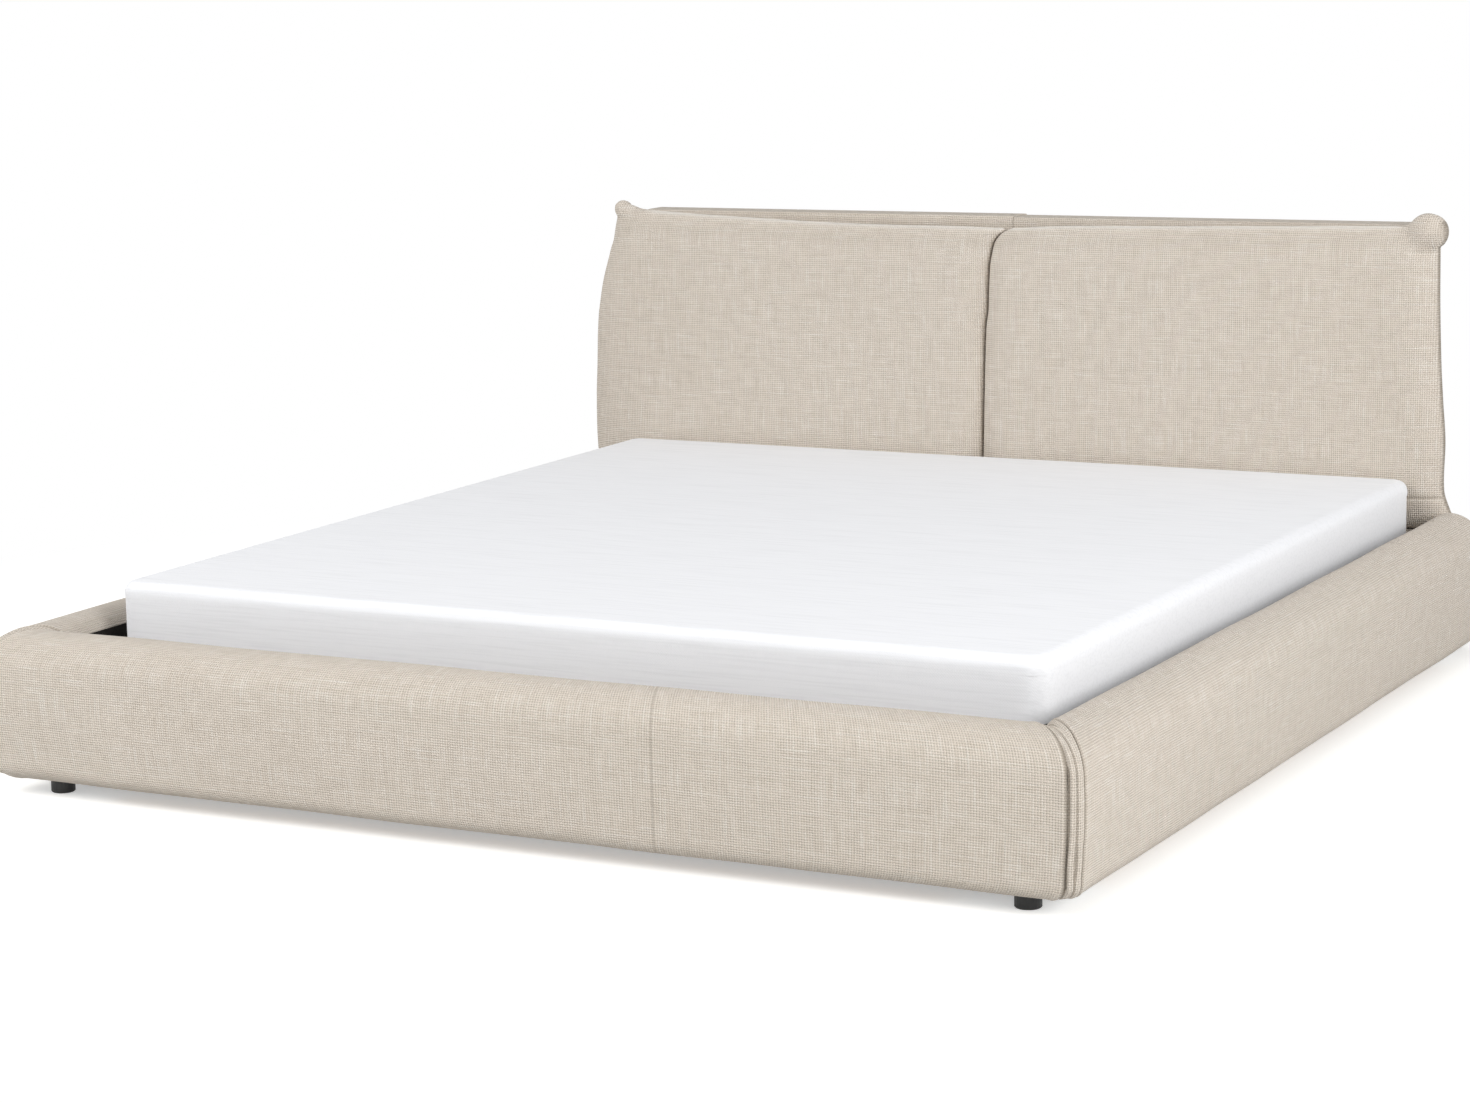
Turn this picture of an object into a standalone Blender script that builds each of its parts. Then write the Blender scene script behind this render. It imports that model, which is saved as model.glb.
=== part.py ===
# Softside waterbed in an upholstered frame, with two hung headboard cushions.
# Metres, +Z up, +Y towards the headboard, origin on the floor under the middle of the bed.
# Each object is one physical piece, and each moving piece hangs from an empty on its joint's axis.

import math

import bmesh
import bpy
from mathutils import Vector

# Clearances
SEAT = 0.0003
OVERRUN = 0.020
SIDE_GAP = 0.042
FOOT_GAP = 0.122
HEAD_GAP = 0.002
DECK_GAP = 0.005
CUSHION_TO_MATTRESS = 0.006
CUSHION_GAP = 0.003

# Mattress
MATTRESS_WIDTH = 1.800
MATTRESS_LENGTH = 1.940
MATTRESS_HEIGHT = 0.200
MATTRESS_CORNER = 0.035
QUILT_HEIGHT = 0.030
QUILT_EDGE = 0.022
COVER_WALL = 0.003
MAT_HEIGHT = 0.015
BOLSTER_FOOT_WIDTH = 0.160
BOLSTER_CREST_WIDTH = 0.110
LINER_WALL = 0.0015
DIVIDER_WIDTH = 0.010
WATER_EDGE = 0.018

# Zip round the cover
ZIP_HEIGHT_ABOVE_BASE = 0.085
ZIP_TAPE = 0.006
ZIP_SLIDER_LENGTH = 0.016
ZIP_SLIDER_HEIGHT = 0.011
ZIP_SLIDER_DEPTH = 0.005
ZIP_PULL_LENGTH = 0.030
ZIP_PULL_HEIGHT = 0.007
ZIP_PULL_DEPTH = 0.002
ZIP_SLIDER_EDGE = 0.0005
ZIP_START = 0.100

# Heaters
HEATER_LENGTH = 0.600
HEATER_WIDTH = 0.300
HEATER_THICKNESS = 0.004
GLAND_INSET = 0.020
GLAND_LENGTH = 0.030
GLAND_WIDTH = 0.024
GLAND_DEPTH = 0.006

# Filling valves
VALVE_INSET = 0.160
CAP_RADIUS = 0.0215
CAP_HEIGHT = 0.011
CAP_WALL = 0.003
CAP_GRIP_DEPTH = 0.0015
CAP_GRIPS = 12
NECK_RADIUS = 0.012
NECK_HEIGHT = 0.007
VALVE_ROOM = 0.002

# Rails
RAIL_WIDTH = 0.108
RAIL_HEIGHT = 0.267
RAIL_OUTER_ROUND_SHARE = 0.61
RAIL_INNER_ROUND_SHARE = 0.37
RAIL_BOTTOM_ROUND = 0.034
RAIL_LINING_ROUND = 0.006
RAIL_TUCK = 0.008
RAIL_BARREL = 0.003
RAIL_END_ROUND = 0.018
CORE_WIDTH = 0.045
CORE_INSET = 0.010
CORE_COVER = 0.047

# Head beam and headboard
BEAM_HEIGHT = 0.220
BEAM_INSET = 0.005
BEAM_FRONT_PAD = 0.043
BEAM_END_PAD = 0.045
BEAM_TOP_PAD = 0.020
BEAM_CORE_WIDTH = 0.056
BEAM_EDGE = 0.016
BOARD_WIDTH = 1.770
BOARD_THICKNESS = 0.030
BOARD_TOP = 0.845
BOARD_LIFT = 0.020
HEAD_FRONT_PAD = 0.019
HEAD_BACK_PAD = 0.023
HEAD_SIDE_PAD = 0.025
HEAD_TOP_PAD = 0.020
HEAD_EDGE = 0.009
HEAD_BACK_LIFT = 0.010

# Headboard cushions
CUSHION_SPLIT = -0.040
CUSHION_MIDDLE = -0.030
CUSHION_HALF_SPAN = 0.972
CUSHION_TOP = 0.872
CUSHION_BACK = 0.033
CUSHION_SEAM = 0.004
CUSHION_ROUND = 0.085
CUSHION_BACK_ROUND = 0.030
CUSHION_SIDE_BULGE = 0.014
CUSHION_FOOT_FLARE = 0.018
CUSHION_TOP_DRAW = 0.012
CUSHION_SIDE_DRAW = 0.006
RIDGE_SAG = 0.026
RIDGE_SAG_START = 0.250
RIDGE_SAG_END = 0.700
EAR_REACH = 0.010
EAR_RISE = 0.022
EAR_SPREAD = 0.046
EAR_WIDTH = 0.012
EAR_FULLNESS_SHARE = 0.62
CUSHION_COLUMNS = 24
CUSHION_ROWS = 17

# Flaps that hang the cushions on the headboard
FLAP = 0.003
FLAP_FRONT_DROP = 0.060
FLAP_BACK_DROP = 0.240
FLAP_INSET = 0.016
HOOK_STRIP_HEIGHT = 0.050
HOOK_STRIP_INSET = 0.040
HOOK_STRIP_LIFT = 0.020
HOOK_STRIP = 0.0015

# Feet
FOOT_HEIGHT = 0.030
FOOT_RADIUS = 0.022
FOOT_TREAD_EDGE = 0.002
FOOT_INSET = 0.010
FOOT_TO_CORE_EDGE = 0.011
STUD_RADIUS = 0.004
STUD_LENGTH = 0.028
STUD_ROOM = 0.0004

# Corner plates and screws
PLATE = 0.003
PLATE_WIDTH = 0.038
PLATE_LEG = 0.190
SCREW_RADIUS = 0.003
SCREW_LENGTH = 0.040
SCREW_HEAD_RADIUS = 0.007
SCREW_HEAD_HEIGHT = 0.003
SCREW_END_DISTANCE = 0.022
SCREW_ROOM = 0.0004

# Pedestal, ledgers and deck
PEDESTAL_HEIGHT = 0.142
PEDESTAL_BOARD = 0.022
PEDESTAL_LONG_X = 0.600
PEDESTAL_LONG_INSET = 0.140
PEDESTAL_CROSS_INSET = 0.360
PEDESTAL_CROSS_HALF = 0.760
LEDGER_WIDTH = 0.030
LEDGER_HEIGHT = 0.030
LEDGER_INSET = 0.060
DECK_THICKNESS = 0.018
DECK_PANELS = 3

# Finishes: colour, roughness, metallic
CLOTH = ("beige_upholstery", (0.62, 0.55, 0.47, 1), 0.95, 0)
COVER = ("white_cover_cloth", (0.83, 0.83, 0.83, 1), 0.9, 0)
BASE_CLOTH = ("grey_base_cloth", (0.45, 0.45, 0.47, 1), 0.9, 0)
TIMBER = ("pine", (0.66, 0.47, 0.28, 1), 0.7, 0)
PLYWOOD = ("plywood", (0.60, 0.44, 0.28, 1), 0.75, 0)
BLACK_PLASTIC = ("black_plastic", (0.02, 0.02, 0.02, 1), 0.5, 0)
STEEL = ("zinc_steel", (0.55, 0.56, 0.58, 1), 0.35, 1)
FOAM = ("foam", (0.80, 0.76, 0.60, 1), 0.95, 0)
VINYL = ("blue_vinyl", (0.20, 0.38, 0.62, 1), 0.35, 0)
LINER = ("liner_vinyl", (0.10, 0.12, 0.16, 1), 0.45, 0)
HEATER = ("heater_vinyl", (0.05, 0.05, 0.06, 1), 0.5, 0)
WHITE_PLASTIC = ("white_plastic", (0.8, 0.8, 0.78, 1), 0.4, 0)
HOOK_CLOTH = ("hook_cloth", (0.04, 0.04, 0.04, 1), 0.95, 0)

ARC_STEPS = 5
CORNER_STEPS = 5
ROUND_SEGMENTS = 24

# Places that follow from the sizes
RAIL_INNER_X = MATTRESS_WIDTH / 2 + SIDE_GAP
RAIL_OUTER_X = RAIL_INNER_X + RAIL_WIDTH
HEADBOARD_DEPTH = (BEAM_FRONT_PAD + BEAM_CORE_WIDTH + BOARD_THICKNESS + HEAD_BACK_PAD
                   + HOOK_STRIP + FLAP + 4 * SEAT)
BED_LENGTH = RAIL_WIDTH + FOOT_GAP + MATTRESS_LENGTH + HEAD_GAP + HEADBOARD_DEPTH
FRONT_Y = -BED_LENGTH / 2
RAIL_INNER_Y = FRONT_Y + RAIL_WIDTH
MATTRESS_FOOT_Y = RAIL_INNER_Y + FOOT_GAP
MATTRESS_HEAD_Y = MATTRESS_FOOT_Y + MATTRESS_LENGTH
BEAM_FRONT_Y = MATTRESS_HEAD_Y + HEAD_GAP
BEAM_CORE_FRONT_Y = BEAM_FRONT_Y + BEAM_FRONT_PAD
BEAM_CORE_BACK_Y = BEAM_CORE_FRONT_Y + BEAM_CORE_WIDTH
BOARD_FRONT_Y = BEAM_CORE_BACK_Y + SEAT
BOARD_BACK_Y = BOARD_FRONT_Y + BOARD_THICKNESS
HEAD_FRONT_Y = BOARD_FRONT_Y - SEAT - HEAD_FRONT_PAD
HEAD_BACK_Y = BOARD_BACK_Y + SEAT + HEAD_BACK_PAD
FLAP_INNER_Y = HEAD_BACK_Y + HOOK_STRIP + 2 * SEAT
CUSHION_BACK_Y = HEAD_FRONT_Y - FLAP - 2 * SEAT
CUSHION_SEAM_Y = CUSHION_BACK_Y - CUSHION_BACK
CUSHION_CROWN = CUSHION_SEAM_Y - CUSHION_SEAM - MATTRESS_HEAD_Y - CUSHION_TO_MATTRESS

RAIL_OUTER_ROUND = RAIL_WIDTH * RAIL_OUTER_ROUND_SHARE
RAIL_INNER_ROUND = RAIL_WIDTH * RAIL_INNER_ROUND_SHARE
UNDERSIDE = FOOT_HEIGHT + SEAT
CORE_BOTTOM = UNDERSIDE + PLATE + SEAT
RAIL_TOP = UNDERSIDE + RAIL_HEIGHT
CORE_TOP = RAIL_TOP - CORE_COVER
BEAM_TOP = UNDERSIDE + BEAM_HEIGHT
BEAM_CORE_TOP = BEAM_TOP - BEAM_TOP_PAD
HEAD_TOP = BOARD_TOP + SEAT + HEAD_TOP_PAD
CUSHION_BOTTOM = BEAM_TOP + SEAT
DECK_BOTTOM = PEDESTAL_HEIGHT + SEAT
DECK_TOP = DECK_BOTTOM + DECK_THICKNESS
MATTRESS_BOTTOM = DECK_TOP + SEAT
MATTRESS_TOP = MATTRESS_BOTTOM + MATTRESS_HEIGHT
MAT_BOTTOM = MATTRESS_BOTTOM + COVER_WALL + SEAT
MAT_TOP = MAT_BOTTOM + MAT_HEIGHT
QUILT_BOTTOM = MATTRESS_TOP - QUILT_HEIGHT
TUB_BOTTOM = MAT_TOP + SEAT
TUB_TOP = QUILT_BOTTOM - SEAT
ZIP_BOTTOM = MATTRESS_BOTTOM + ZIP_HEIGHT_ABOVE_BASE
ZIP_TOP = ZIP_BOTTOM + ZIP_TAPE
CORE_INNER_X = RAIL_INNER_X + CORE_INSET
CORE_OUTER_X = CORE_INNER_X + CORE_WIDTH
CORE_INNER_Y = RAIL_INNER_Y - CORE_INSET
CORE_OUTER_Y = CORE_INNER_Y - CORE_WIDTH
CORE_MIDDLE_X = CORE_INNER_X + CORE_WIDTH / 2
CORE_MIDDLE_Y = CORE_INNER_Y - CORE_WIDTH / 2
BEAM_CORE_MIDDLE_Y = BEAM_CORE_FRONT_Y + BEAM_CORE_WIDTH / 2
SIDES = (("left", -1), ("right", 1))


# Helpers: materials, objects, joints

def finish_of(spec):
    name, colour, roughness, metallic = spec
    material = bpy.data.materials.get(name) or bpy.data.materials.new(name)
    material.use_nodes = True
    shader = material.node_tree.nodes["Principled BSDF"]
    shader.inputs["Base Color"].default_value = colour
    shader.inputs["Roughness"].default_value = roughness
    shader.inputs["Metallic"].default_value = metallic
    material.diffuse_color = colour
    return material


def make_object(name, shape, spec, parent=None):
    """Turns a bmesh drawn in world places into a named object, under its joint's empty if it has one."""
    bmesh.ops.recalc_face_normals(shape, faces=shape.faces)
    mesh = bpy.data.meshes.new(name)
    shape.to_mesh(mesh)
    shape.free()
    mesh.materials.append(finish_of(spec))
    thing = bpy.data.objects.new(name, mesh)
    bpy.context.collection.objects.link(thing)
    if parent:
        thing.parent = parent
        thing.location = -parent.location
    return thing


def joint_empty(name, place):
    empty = bpy.data.objects.new(name, None)
    bpy.context.collection.objects.link(empty)
    empty.location = place
    return empty


def smooth(thing, angle_degrees=35):
    thing.data.shade_smooth()
    thing.data.set_sharp_from_angle(angle=math.radians(angle_degrees))
    return thing


def boolean(thing, operation, shape):
    """Adds a Boolean with a hidden cutter made from the given bmesh."""
    cutter = make_object(f"{thing.name}.cutter", shape, BLACK_PLASTIC)
    cutter.hide_render = True
    cutter.display_type = "WIRE"
    modifier = thing.modifiers.new(operation.title(), "BOOLEAN")
    modifier.operation = operation
    modifier.object = cutter
    return thing


def soften(thing, width, segments=2, angle_degrees=30):
    bevel = thing.modifiers.new("Edges", "BEVEL")
    bevel.width = width
    bevel.segments = segments
    bevel.limit_method = "ANGLE"
    bevel.angle_limit = math.radians(angle_degrees)
    return thing


# Helpers: shapes

def box(low, high):
    shape = bmesh.new()
    bmesh.ops.create_cube(shape, size=1)
    low, high = Vector(low), Vector(high)
    bmesh.ops.scale(shape, vec=high - low, verts=shape.verts)
    bmesh.ops.translate(shape, vec=(low + high) / 2, verts=shape.verts)
    return shape


def cylinder(centre, radius, bottom, top, segments=ROUND_SEGMENTS):
    shape = bmesh.new()
    bmesh.ops.create_cone(shape, cap_ends=True, segments=segments, radius1=radius, radius2=radius,
                          depth=top - bottom)
    bmesh.ops.translate(shape, vec=(centre[0], centre[1], (bottom + top) / 2), verts=shape.verts)
    return shape


def arc(centre, radius, start_degrees, end_degrees, steps=ARC_STEPS):
    """Points of an arc in a plane, both ends included."""
    points = []
    for step in range(steps + 1):
        angle = math.radians(start_degrees + (end_degrees - start_degrees) * step / steps)
        points.append((centre[0] + radius * math.cos(angle), centre[1] + radius * math.sin(angle)))
    return points


def loft(sections):
    """A closed solid through sections that have the same number of points."""
    shape = bmesh.new()
    rings = [[shape.verts.new(point) for point in section] for section in sections]
    for near, far in zip(rings, rings[1:]):
        for i in range(len(near)):
            j = (i + 1) % len(near)
            shape.faces.new((near[i], near[j], far[j], far[i]))
    shape.faces.new(rings[0])
    shape.faces.new(rings[-1])
    return shape


def rounded_rectangle(half_x, low_y, high_y, radius):
    corners = ((half_x, high_y, 0), (-half_x, high_y, 90), (-half_x, low_y, 180), (half_x, low_y, 270))
    points = []
    for x, y, start in corners:
        inward = Vector((-math.copysign(radius, x), radius if y == low_y else -radius))
        points += arc((x + inward.x, y + inward.y), radius, start, start + 90, CORNER_STEPS)
    return points


def slab(outline, bottom, top):
    return loft([[(x, y, z) for x, y in outline] for z in (bottom, top)])


def frustum(low, high, bottom, top):
    """A solid with four sloping sides between two rectangles given as x0, x1, y0, y1."""
    sections = []
    for (x0, x1, y0, y1), z in ((low, bottom), (high, top)):
        sections.append([(x0, y0, z), (x1, y0, z), (x1, y1, z), (x0, y1, z)])
    return loft(sections)


# Rails: a timber core inside an upholstered sleeve that is open underneath

def rail_outline(inset=0):
    """The sleeve's section: distance out from its inner face, and height."""
    low, high = UNDERSIDE, RAIL_TOP
    inner, bottom = RAIL_LINING_ROUND, RAIL_BOTTOM_ROUND
    points = arc((RAIL_WIDTH - RAIL_TUCK - bottom, low + bottom), bottom - inset, -90, 0)
    base, crest = low + bottom, high - RAIL_OUTER_ROUND
    for share in (1 / 3, 2 / 3):
        face = RAIL_WIDTH - RAIL_TUCK * (1 - share) + RAIL_BARREL * math.sin(math.pi * share) - inset
        points.append((face, base + (crest - base) * share))
    points += arc((RAIL_WIDTH - RAIL_OUTER_ROUND, crest), RAIL_OUTER_ROUND - inset, 0, 90)
    points += arc((RAIL_INNER_ROUND, high - RAIL_INNER_ROUND), RAIL_INNER_ROUND - inset, 90, 180)
    points += arc((inner, low + inner), max(inner - inset, SEAT), 180, 270, 2)
    return points


def rounded_end(outline_of, end, direction, radius):
    """Sections that draw the end of a sleeve in along a quarter circle."""
    sections = []
    for degrees in (0, 40, 75):
        inset = radius * (1 - math.cos(math.radians(degrees))) / 2
        along = end - direction * radius * (1 - math.sin(math.radians(degrees)))
        sections.append([(along, point) for point in outline_of(inset)])
    return sections


def side_sleeve(side):
    """Mitred at the foot, rounded where it meets the head beam."""
    start = [(RAIL_INNER_Y - out + SEAT, (out, z)) for out, z in rail_outline()]
    sections = [start] + rounded_end(rail_outline, BEAM_FRONT_Y - SEAT, 1, RAIL_END_ROUND)
    return loft([[(side * (RAIL_INNER_X + out), y, z) for y, (out, z) in section]
                 for section in sections])


def foot_sleeve():
    outline = rail_outline()
    return loft([[(end * (RAIL_INNER_X + out - SEAT), RAIL_INNER_Y - out, z) for out, z in outline]
                 for end in (-1, 1)])


def core_outline():
    near, far = CORE_INSET, CORE_INSET + CORE_WIDTH
    return [(near, CORE_BOTTOM), (far, CORE_BOTTOM), (far, CORE_TOP), (near, CORE_TOP)]


def side_core(side):
    end = BEAM_CORE_FRONT_Y - SEAT
    sections = [[(RAIL_INNER_Y - out + SEAT, out, z) for out, z in core_outline()],
                [(end, out, z) for out, z in core_outline()]]
    return loft([[(side * (RAIL_INNER_X + out), y, z) for y, out, z in section]
                 for section in sections])


def foot_core():
    return loft([[(end * (RAIL_INNER_X + out - SEAT), RAIL_INNER_Y - out, z)
                  for out, z in core_outline()] for end in (-1, 1)])


def side_core_slot(side, start_y, end_y):
    """Room for a side core and the plate under it, open underneath."""
    xs = sorted((side * (CORE_INNER_X - SEAT), side * (CORE_OUTER_X + SEAT)))
    return box((xs[0], start_y, UNDERSIDE - OVERRUN), (xs[1], end_y, CORE_TOP + SEAT))


def make_rails():
    for word, side in SIDES:
        sleeve = smooth(make_object(f"{word}_rail_sleeve", side_sleeve(side), CLOTH))
        boolean(sleeve, "DIFFERENCE",
                side_core_slot(side, FRONT_Y - OVERRUN, BEAM_FRONT_Y + OVERRUN))
        core = make_object(f"{word}_rail_core", side_core(side), TIMBER)
        drill_corner(core, side, (-1, 1))
    sleeve = smooth(make_object("foot_rail_sleeve", foot_sleeve(), CLOTH))
    boolean(sleeve, "DIFFERENCE",
            box((-RAIL_OUTER_X - OVERRUN, CORE_OUTER_Y - SEAT, UNDERSIDE - OVERRUN),
                (RAIL_OUTER_X + OVERRUN, CORE_INNER_Y + SEAT, CORE_TOP + SEAT)))
    core = make_object("foot_rail_core", foot_core(), TIMBER)
    for _, side in SIDES:
        drill_corner(core, side, (-1,))


# Head beam, headboard board and its upholstery

def make_head_beam():
    half = RAIL_OUTER_X - BEAM_INSET
    core_half = half - BEAM_END_PAD
    core = make_object("head_beam_core",
                       box((-core_half, BEAM_CORE_FRONT_Y, CORE_BOTTOM),
                           (core_half, BEAM_CORE_BACK_Y, BEAM_CORE_TOP)), TIMBER)
    sleeve = make_object("head_beam_sleeve",
                         box((-half, BEAM_FRONT_Y, UNDERSIDE), (half, BEAM_CORE_BACK_Y, BEAM_TOP)),
                         CLOTH)
    soften(sleeve, BEAM_EDGE, 3)
    boolean(sleeve, "DIFFERENCE",
            box((-core_half - SEAT, BEAM_CORE_FRONT_Y - SEAT, UNDERSIDE - OVERRUN),
                (core_half + SEAT, BEAM_CORE_BACK_Y + OVERRUN, BEAM_CORE_TOP + SEAT)))
    for _, side in SIDES:
        boolean(sleeve, "DIFFERENCE",
                side_core_slot(side, BEAM_FRONT_Y - OVERRUN, BEAM_CORE_FRONT_Y + OVERRUN))
        drill_corner(core, side, (1,))
    smooth(sleeve)


def make_headboard():
    half = BOARD_WIDTH / 2
    make_object("headboard_board",
                box((-half, BOARD_FRONT_Y, UNDERSIDE + BOARD_LIFT), (half, BOARD_BACK_Y, BOARD_TOP)),
                PLYWOOD)
    outer = half + SEAT + HEAD_SIDE_PAD
    sleeve = make_object("headboard_upholstery",
                         box((-outer, HEAD_FRONT_Y, UNDERSIDE + HEAD_BACK_LIFT),
                             (outer, HEAD_BACK_Y, HEAD_TOP)), CLOTH)
    soften(sleeve, HEAD_EDGE, 3)
    boolean(sleeve, "DIFFERENCE",
            box((-half - SEAT, BOARD_FRONT_Y - SEAT, -OVERRUN),
                (half + SEAT, BOARD_BACK_Y + SEAT, BOARD_TOP + SEAT)))
    boolean(sleeve, "DIFFERENCE",
            box((-outer - OVERRUN, HEAD_FRONT_Y - OVERRUN, -OVERRUN),
                (outer + OVERRUN, (BOARD_FRONT_Y + BOARD_BACK_Y) / 2, CUSHION_BOTTOM)))
    smooth(sleeve)


# Corner plates, their screws, and the feet

def corner_centre(side, end):
    y = BEAM_CORE_MIDDLE_Y if end > 0 else CORE_MIDDLE_Y
    return side * CORE_MIDDLE_X, y


def foot_place(side, end):
    y = BEAM_CORE_MIDDLE_Y if end > 0 else CORE_INNER_Y - FOOT_TO_CORE_EDGE
    return side * (RAIL_INNER_X - FOOT_INSET), y


def screw_places(side, end):
    """One screw near the end of each leg of a corner plate."""
    x, y = corner_centre(side, end)
    reach = PLATE_LEG - PLATE_WIDTH / 2 - SCREW_END_DISTANCE
    return (x, y - end * reach), (x - side * reach, y)


def plate_outline(side, end):
    x, y = corner_centre(side, end)
    half = PLATE_WIDTH / 2
    leg = PLATE_LEG - half
    points = [(half, half), (half, -leg), (-half, -leg), (-half, -half), (-leg, -half), (-leg, half)]
    return [(x + side * a, y + end * b) for a, b in points]


def drill_corner(thing, side, ends):
    """Cuts the foot's stud hole and the screw holes near a corner."""
    for end in ends:
        stud = cylinder(foot_place(side, end), STUD_RADIUS + STUD_ROOM, UNDERSIDE - OVERRUN,
                        UNDERSIDE + STUD_LENGTH + SEAT, ROUND_SEGMENTS // 2)
        boolean(thing, "DIFFERENCE", stud)
        for place in screw_places(side, end):
            hole = cylinder(place, SCREW_RADIUS + SCREW_ROOM, UNDERSIDE - OVERRUN,
                            UNDERSIDE + SCREW_LENGTH + SEAT, ROUND_SEGMENTS // 2)
            boolean(thing, "DIFFERENCE", hole)


def make_corner(word, side, place_word, end):
    plate = make_object(f"{place_word}_{word}_corner_plate",
                        slab(plate_outline(side, end), UNDERSIDE, UNDERSIDE + PLATE), STEEL)
    drill_corner(plate, side, (end,))
    make_foot(f"{place_word}_{word}_foot", foot_place(side, end))
    for leg, place in zip(("side", "cross"), screw_places(side, end)):
        make_screw(f"{place_word}_{word}_{leg}_screw", place)


def make_foot(name, place):
    """A plastic glide with a threaded stud moulded in."""
    sections = [(FOOT_RADIUS - FOOT_TREAD_EDGE, 0), (FOOT_RADIUS, FOOT_TREAD_EDGE),
                (FOOT_RADIUS, FOOT_HEIGHT), (STUD_RADIUS, FOOT_HEIGHT),
                (STUD_RADIUS, UNDERSIDE + STUD_LENGTH)]
    smooth(make_object(name, turned(place, sections), BLACK_PLASTIC))


def make_screw(name, place):
    sections = [(SCREW_HEAD_RADIUS, UNDERSIDE - SEAT - SCREW_HEAD_HEIGHT),
                (SCREW_HEAD_RADIUS, UNDERSIDE - SEAT), (SCREW_RADIUS, UNDERSIDE - SEAT),
                (SCREW_RADIUS, UNDERSIDE + SCREW_LENGTH)]
    smooth(make_object(name, turned(place, sections, ROUND_SEGMENTS // 2), STEEL))


def turned(place, sections, segments=ROUND_SEGMENTS):
    """A turned solid about a vertical axis, from radius and height pairs, bottom to top."""
    rings = []
    for radius, z in sections:
        rings.append([(place[0] + radius * math.cos(2 * math.pi * k / segments),
                       place[1] + radius * math.sin(2 * math.pi * k / segments), z)
                      for k in range(segments)])
    return loft(rings)


def make_corners():
    for word, side in SIDES:
        for place_word, end in (("front", -1), ("rear", 1)):
            make_corner(word, side, place_word, end)


# Pedestal of half-lapped boards, ledgers on the side rails, and the deck

def pedestal_long_xs():
    return (-PEDESTAL_LONG_X, 0, PEDESTAL_LONG_X)


def pedestal_cross_ys():
    return (RAIL_INNER_Y + PEDESTAL_CROSS_INSET, BEAM_FRONT_Y - PEDESTAL_CROSS_INSET)


def notched_board(half_board, low, high, crossings, notch_from_top):
    """Outline of an upright board with half-lap notches, as length and height pairs."""
    middle = PEDESTAL_HEIGHT / 2
    notch_z = middle - SEAT / 2 if notch_from_top else middle + SEAT / 2
    edge_z, plain_z = (PEDESTAL_HEIGHT, 0) if notch_from_top else (0, PEDESTAL_HEIGHT)
    points = [(low, plain_z), (low, edge_z)]
    for crossing in crossings:
        near, far = crossing - half_board - SEAT, crossing + half_board + SEAT
        points += [(near, edge_z), (near, notch_z), (far, notch_z), (far, edge_z)]
    return points + [(high, edge_z), (high, plain_z)]


def make_pedestal():
    half = PEDESTAL_BOARD / 2
    low, high = RAIL_INNER_Y + PEDESTAL_LONG_INSET, BEAM_FRONT_Y - PEDESTAL_LONG_INSET
    outline = notched_board(half, low, high, pedestal_cross_ys(), True)
    for word, x in zip(("left", "middle", "right"), pedestal_long_xs()):
        board = loft([[(at, y, z) for y, z in outline] for at in (x - half, x + half)])
        make_object(f"{word}_pedestal_board", board, PLYWOOD)
    outline = notched_board(half, -PEDESTAL_CROSS_HALF, PEDESTAL_CROSS_HALF, pedestal_long_xs(), False)
    for word, y in zip(("foot", "head"), pedestal_cross_ys()):
        board = loft([[(x, at, z) for x, z in outline] for at in (y - half, y + half)])
        make_object(f"{word}_pedestal_cross_board", board, PLYWOOD)


def make_ledgers():
    for word, side in SIDES:
        xs = sorted((side * (RAIL_INNER_X - SEAT), side * (RAIL_INNER_X - SEAT - LEDGER_WIDTH)))
        make_object(f"{word}_deck_ledger",
                    box((xs[0], RAIL_INNER_Y + LEDGER_INSET, PEDESTAL_HEIGHT - LEDGER_HEIGHT),
                        (xs[1], BEAM_FRONT_Y - LEDGER_INSET, PEDESTAL_HEIGHT)), TIMBER)


def make_deck():
    low, high = RAIL_INNER_Y + DECK_GAP, BEAM_FRONT_Y - SEAT
    pitch = (high - low) / DECK_PANELS
    half = RAIL_INNER_X - DECK_GAP
    for number in range(DECK_PANELS):
        start = low + number * pitch
        make_object(f"deck_panel_{number + 1}",
                    box((-half, start, DECK_BOTTOM), (half, start + pitch - SEAT, DECK_TOP)), PLYWOOD)


# Water mattress, from the bottom cover to the quilted top

def mattress_outline(inset):
    return rounded_rectangle(MATTRESS_WIDTH / 2 - inset, MATTRESS_FOOT_Y + inset,
                             MATTRESS_HEAD_Y - inset, MATTRESS_CORNER - inset)


def cover_ring(name, bottom, top, spec, floor=0, parent=None):
    """A band of cover cloth round the mattress, with a floor if one is given."""
    band = make_object(name, slab(mattress_outline(0), bottom, top), spec, parent)
    inside = slab(mattress_outline(COVER_WALL), bottom + floor if floor else bottom - OVERRUN,
                  top + OVERRUN)
    return smooth(boolean(band, "DIFFERENCE", inside))


def tub_bounds(inset, z):
    """The rectangle that the sloping bolsters leave at a height, drawn in by an inset."""
    share = (z - TUB_BOTTOM) / (TUB_TOP - TUB_BOTTOM)
    slope_width = BOLSTER_FOOT_WIDTH + (BOLSTER_CREST_WIDTH - BOLSTER_FOOT_WIDTH) * share
    width = slope_width + COVER_WALL + SEAT + inset
    half = MATTRESS_WIDTH / 2 - width
    return -half, half, MATTRESS_FOOT_Y + width, MATTRESS_HEAD_Y - width


def tub_solid(inset, bottom, top):
    return frustum(tub_bounds(inset, bottom), tub_bounds(inset, top), bottom, top)


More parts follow.
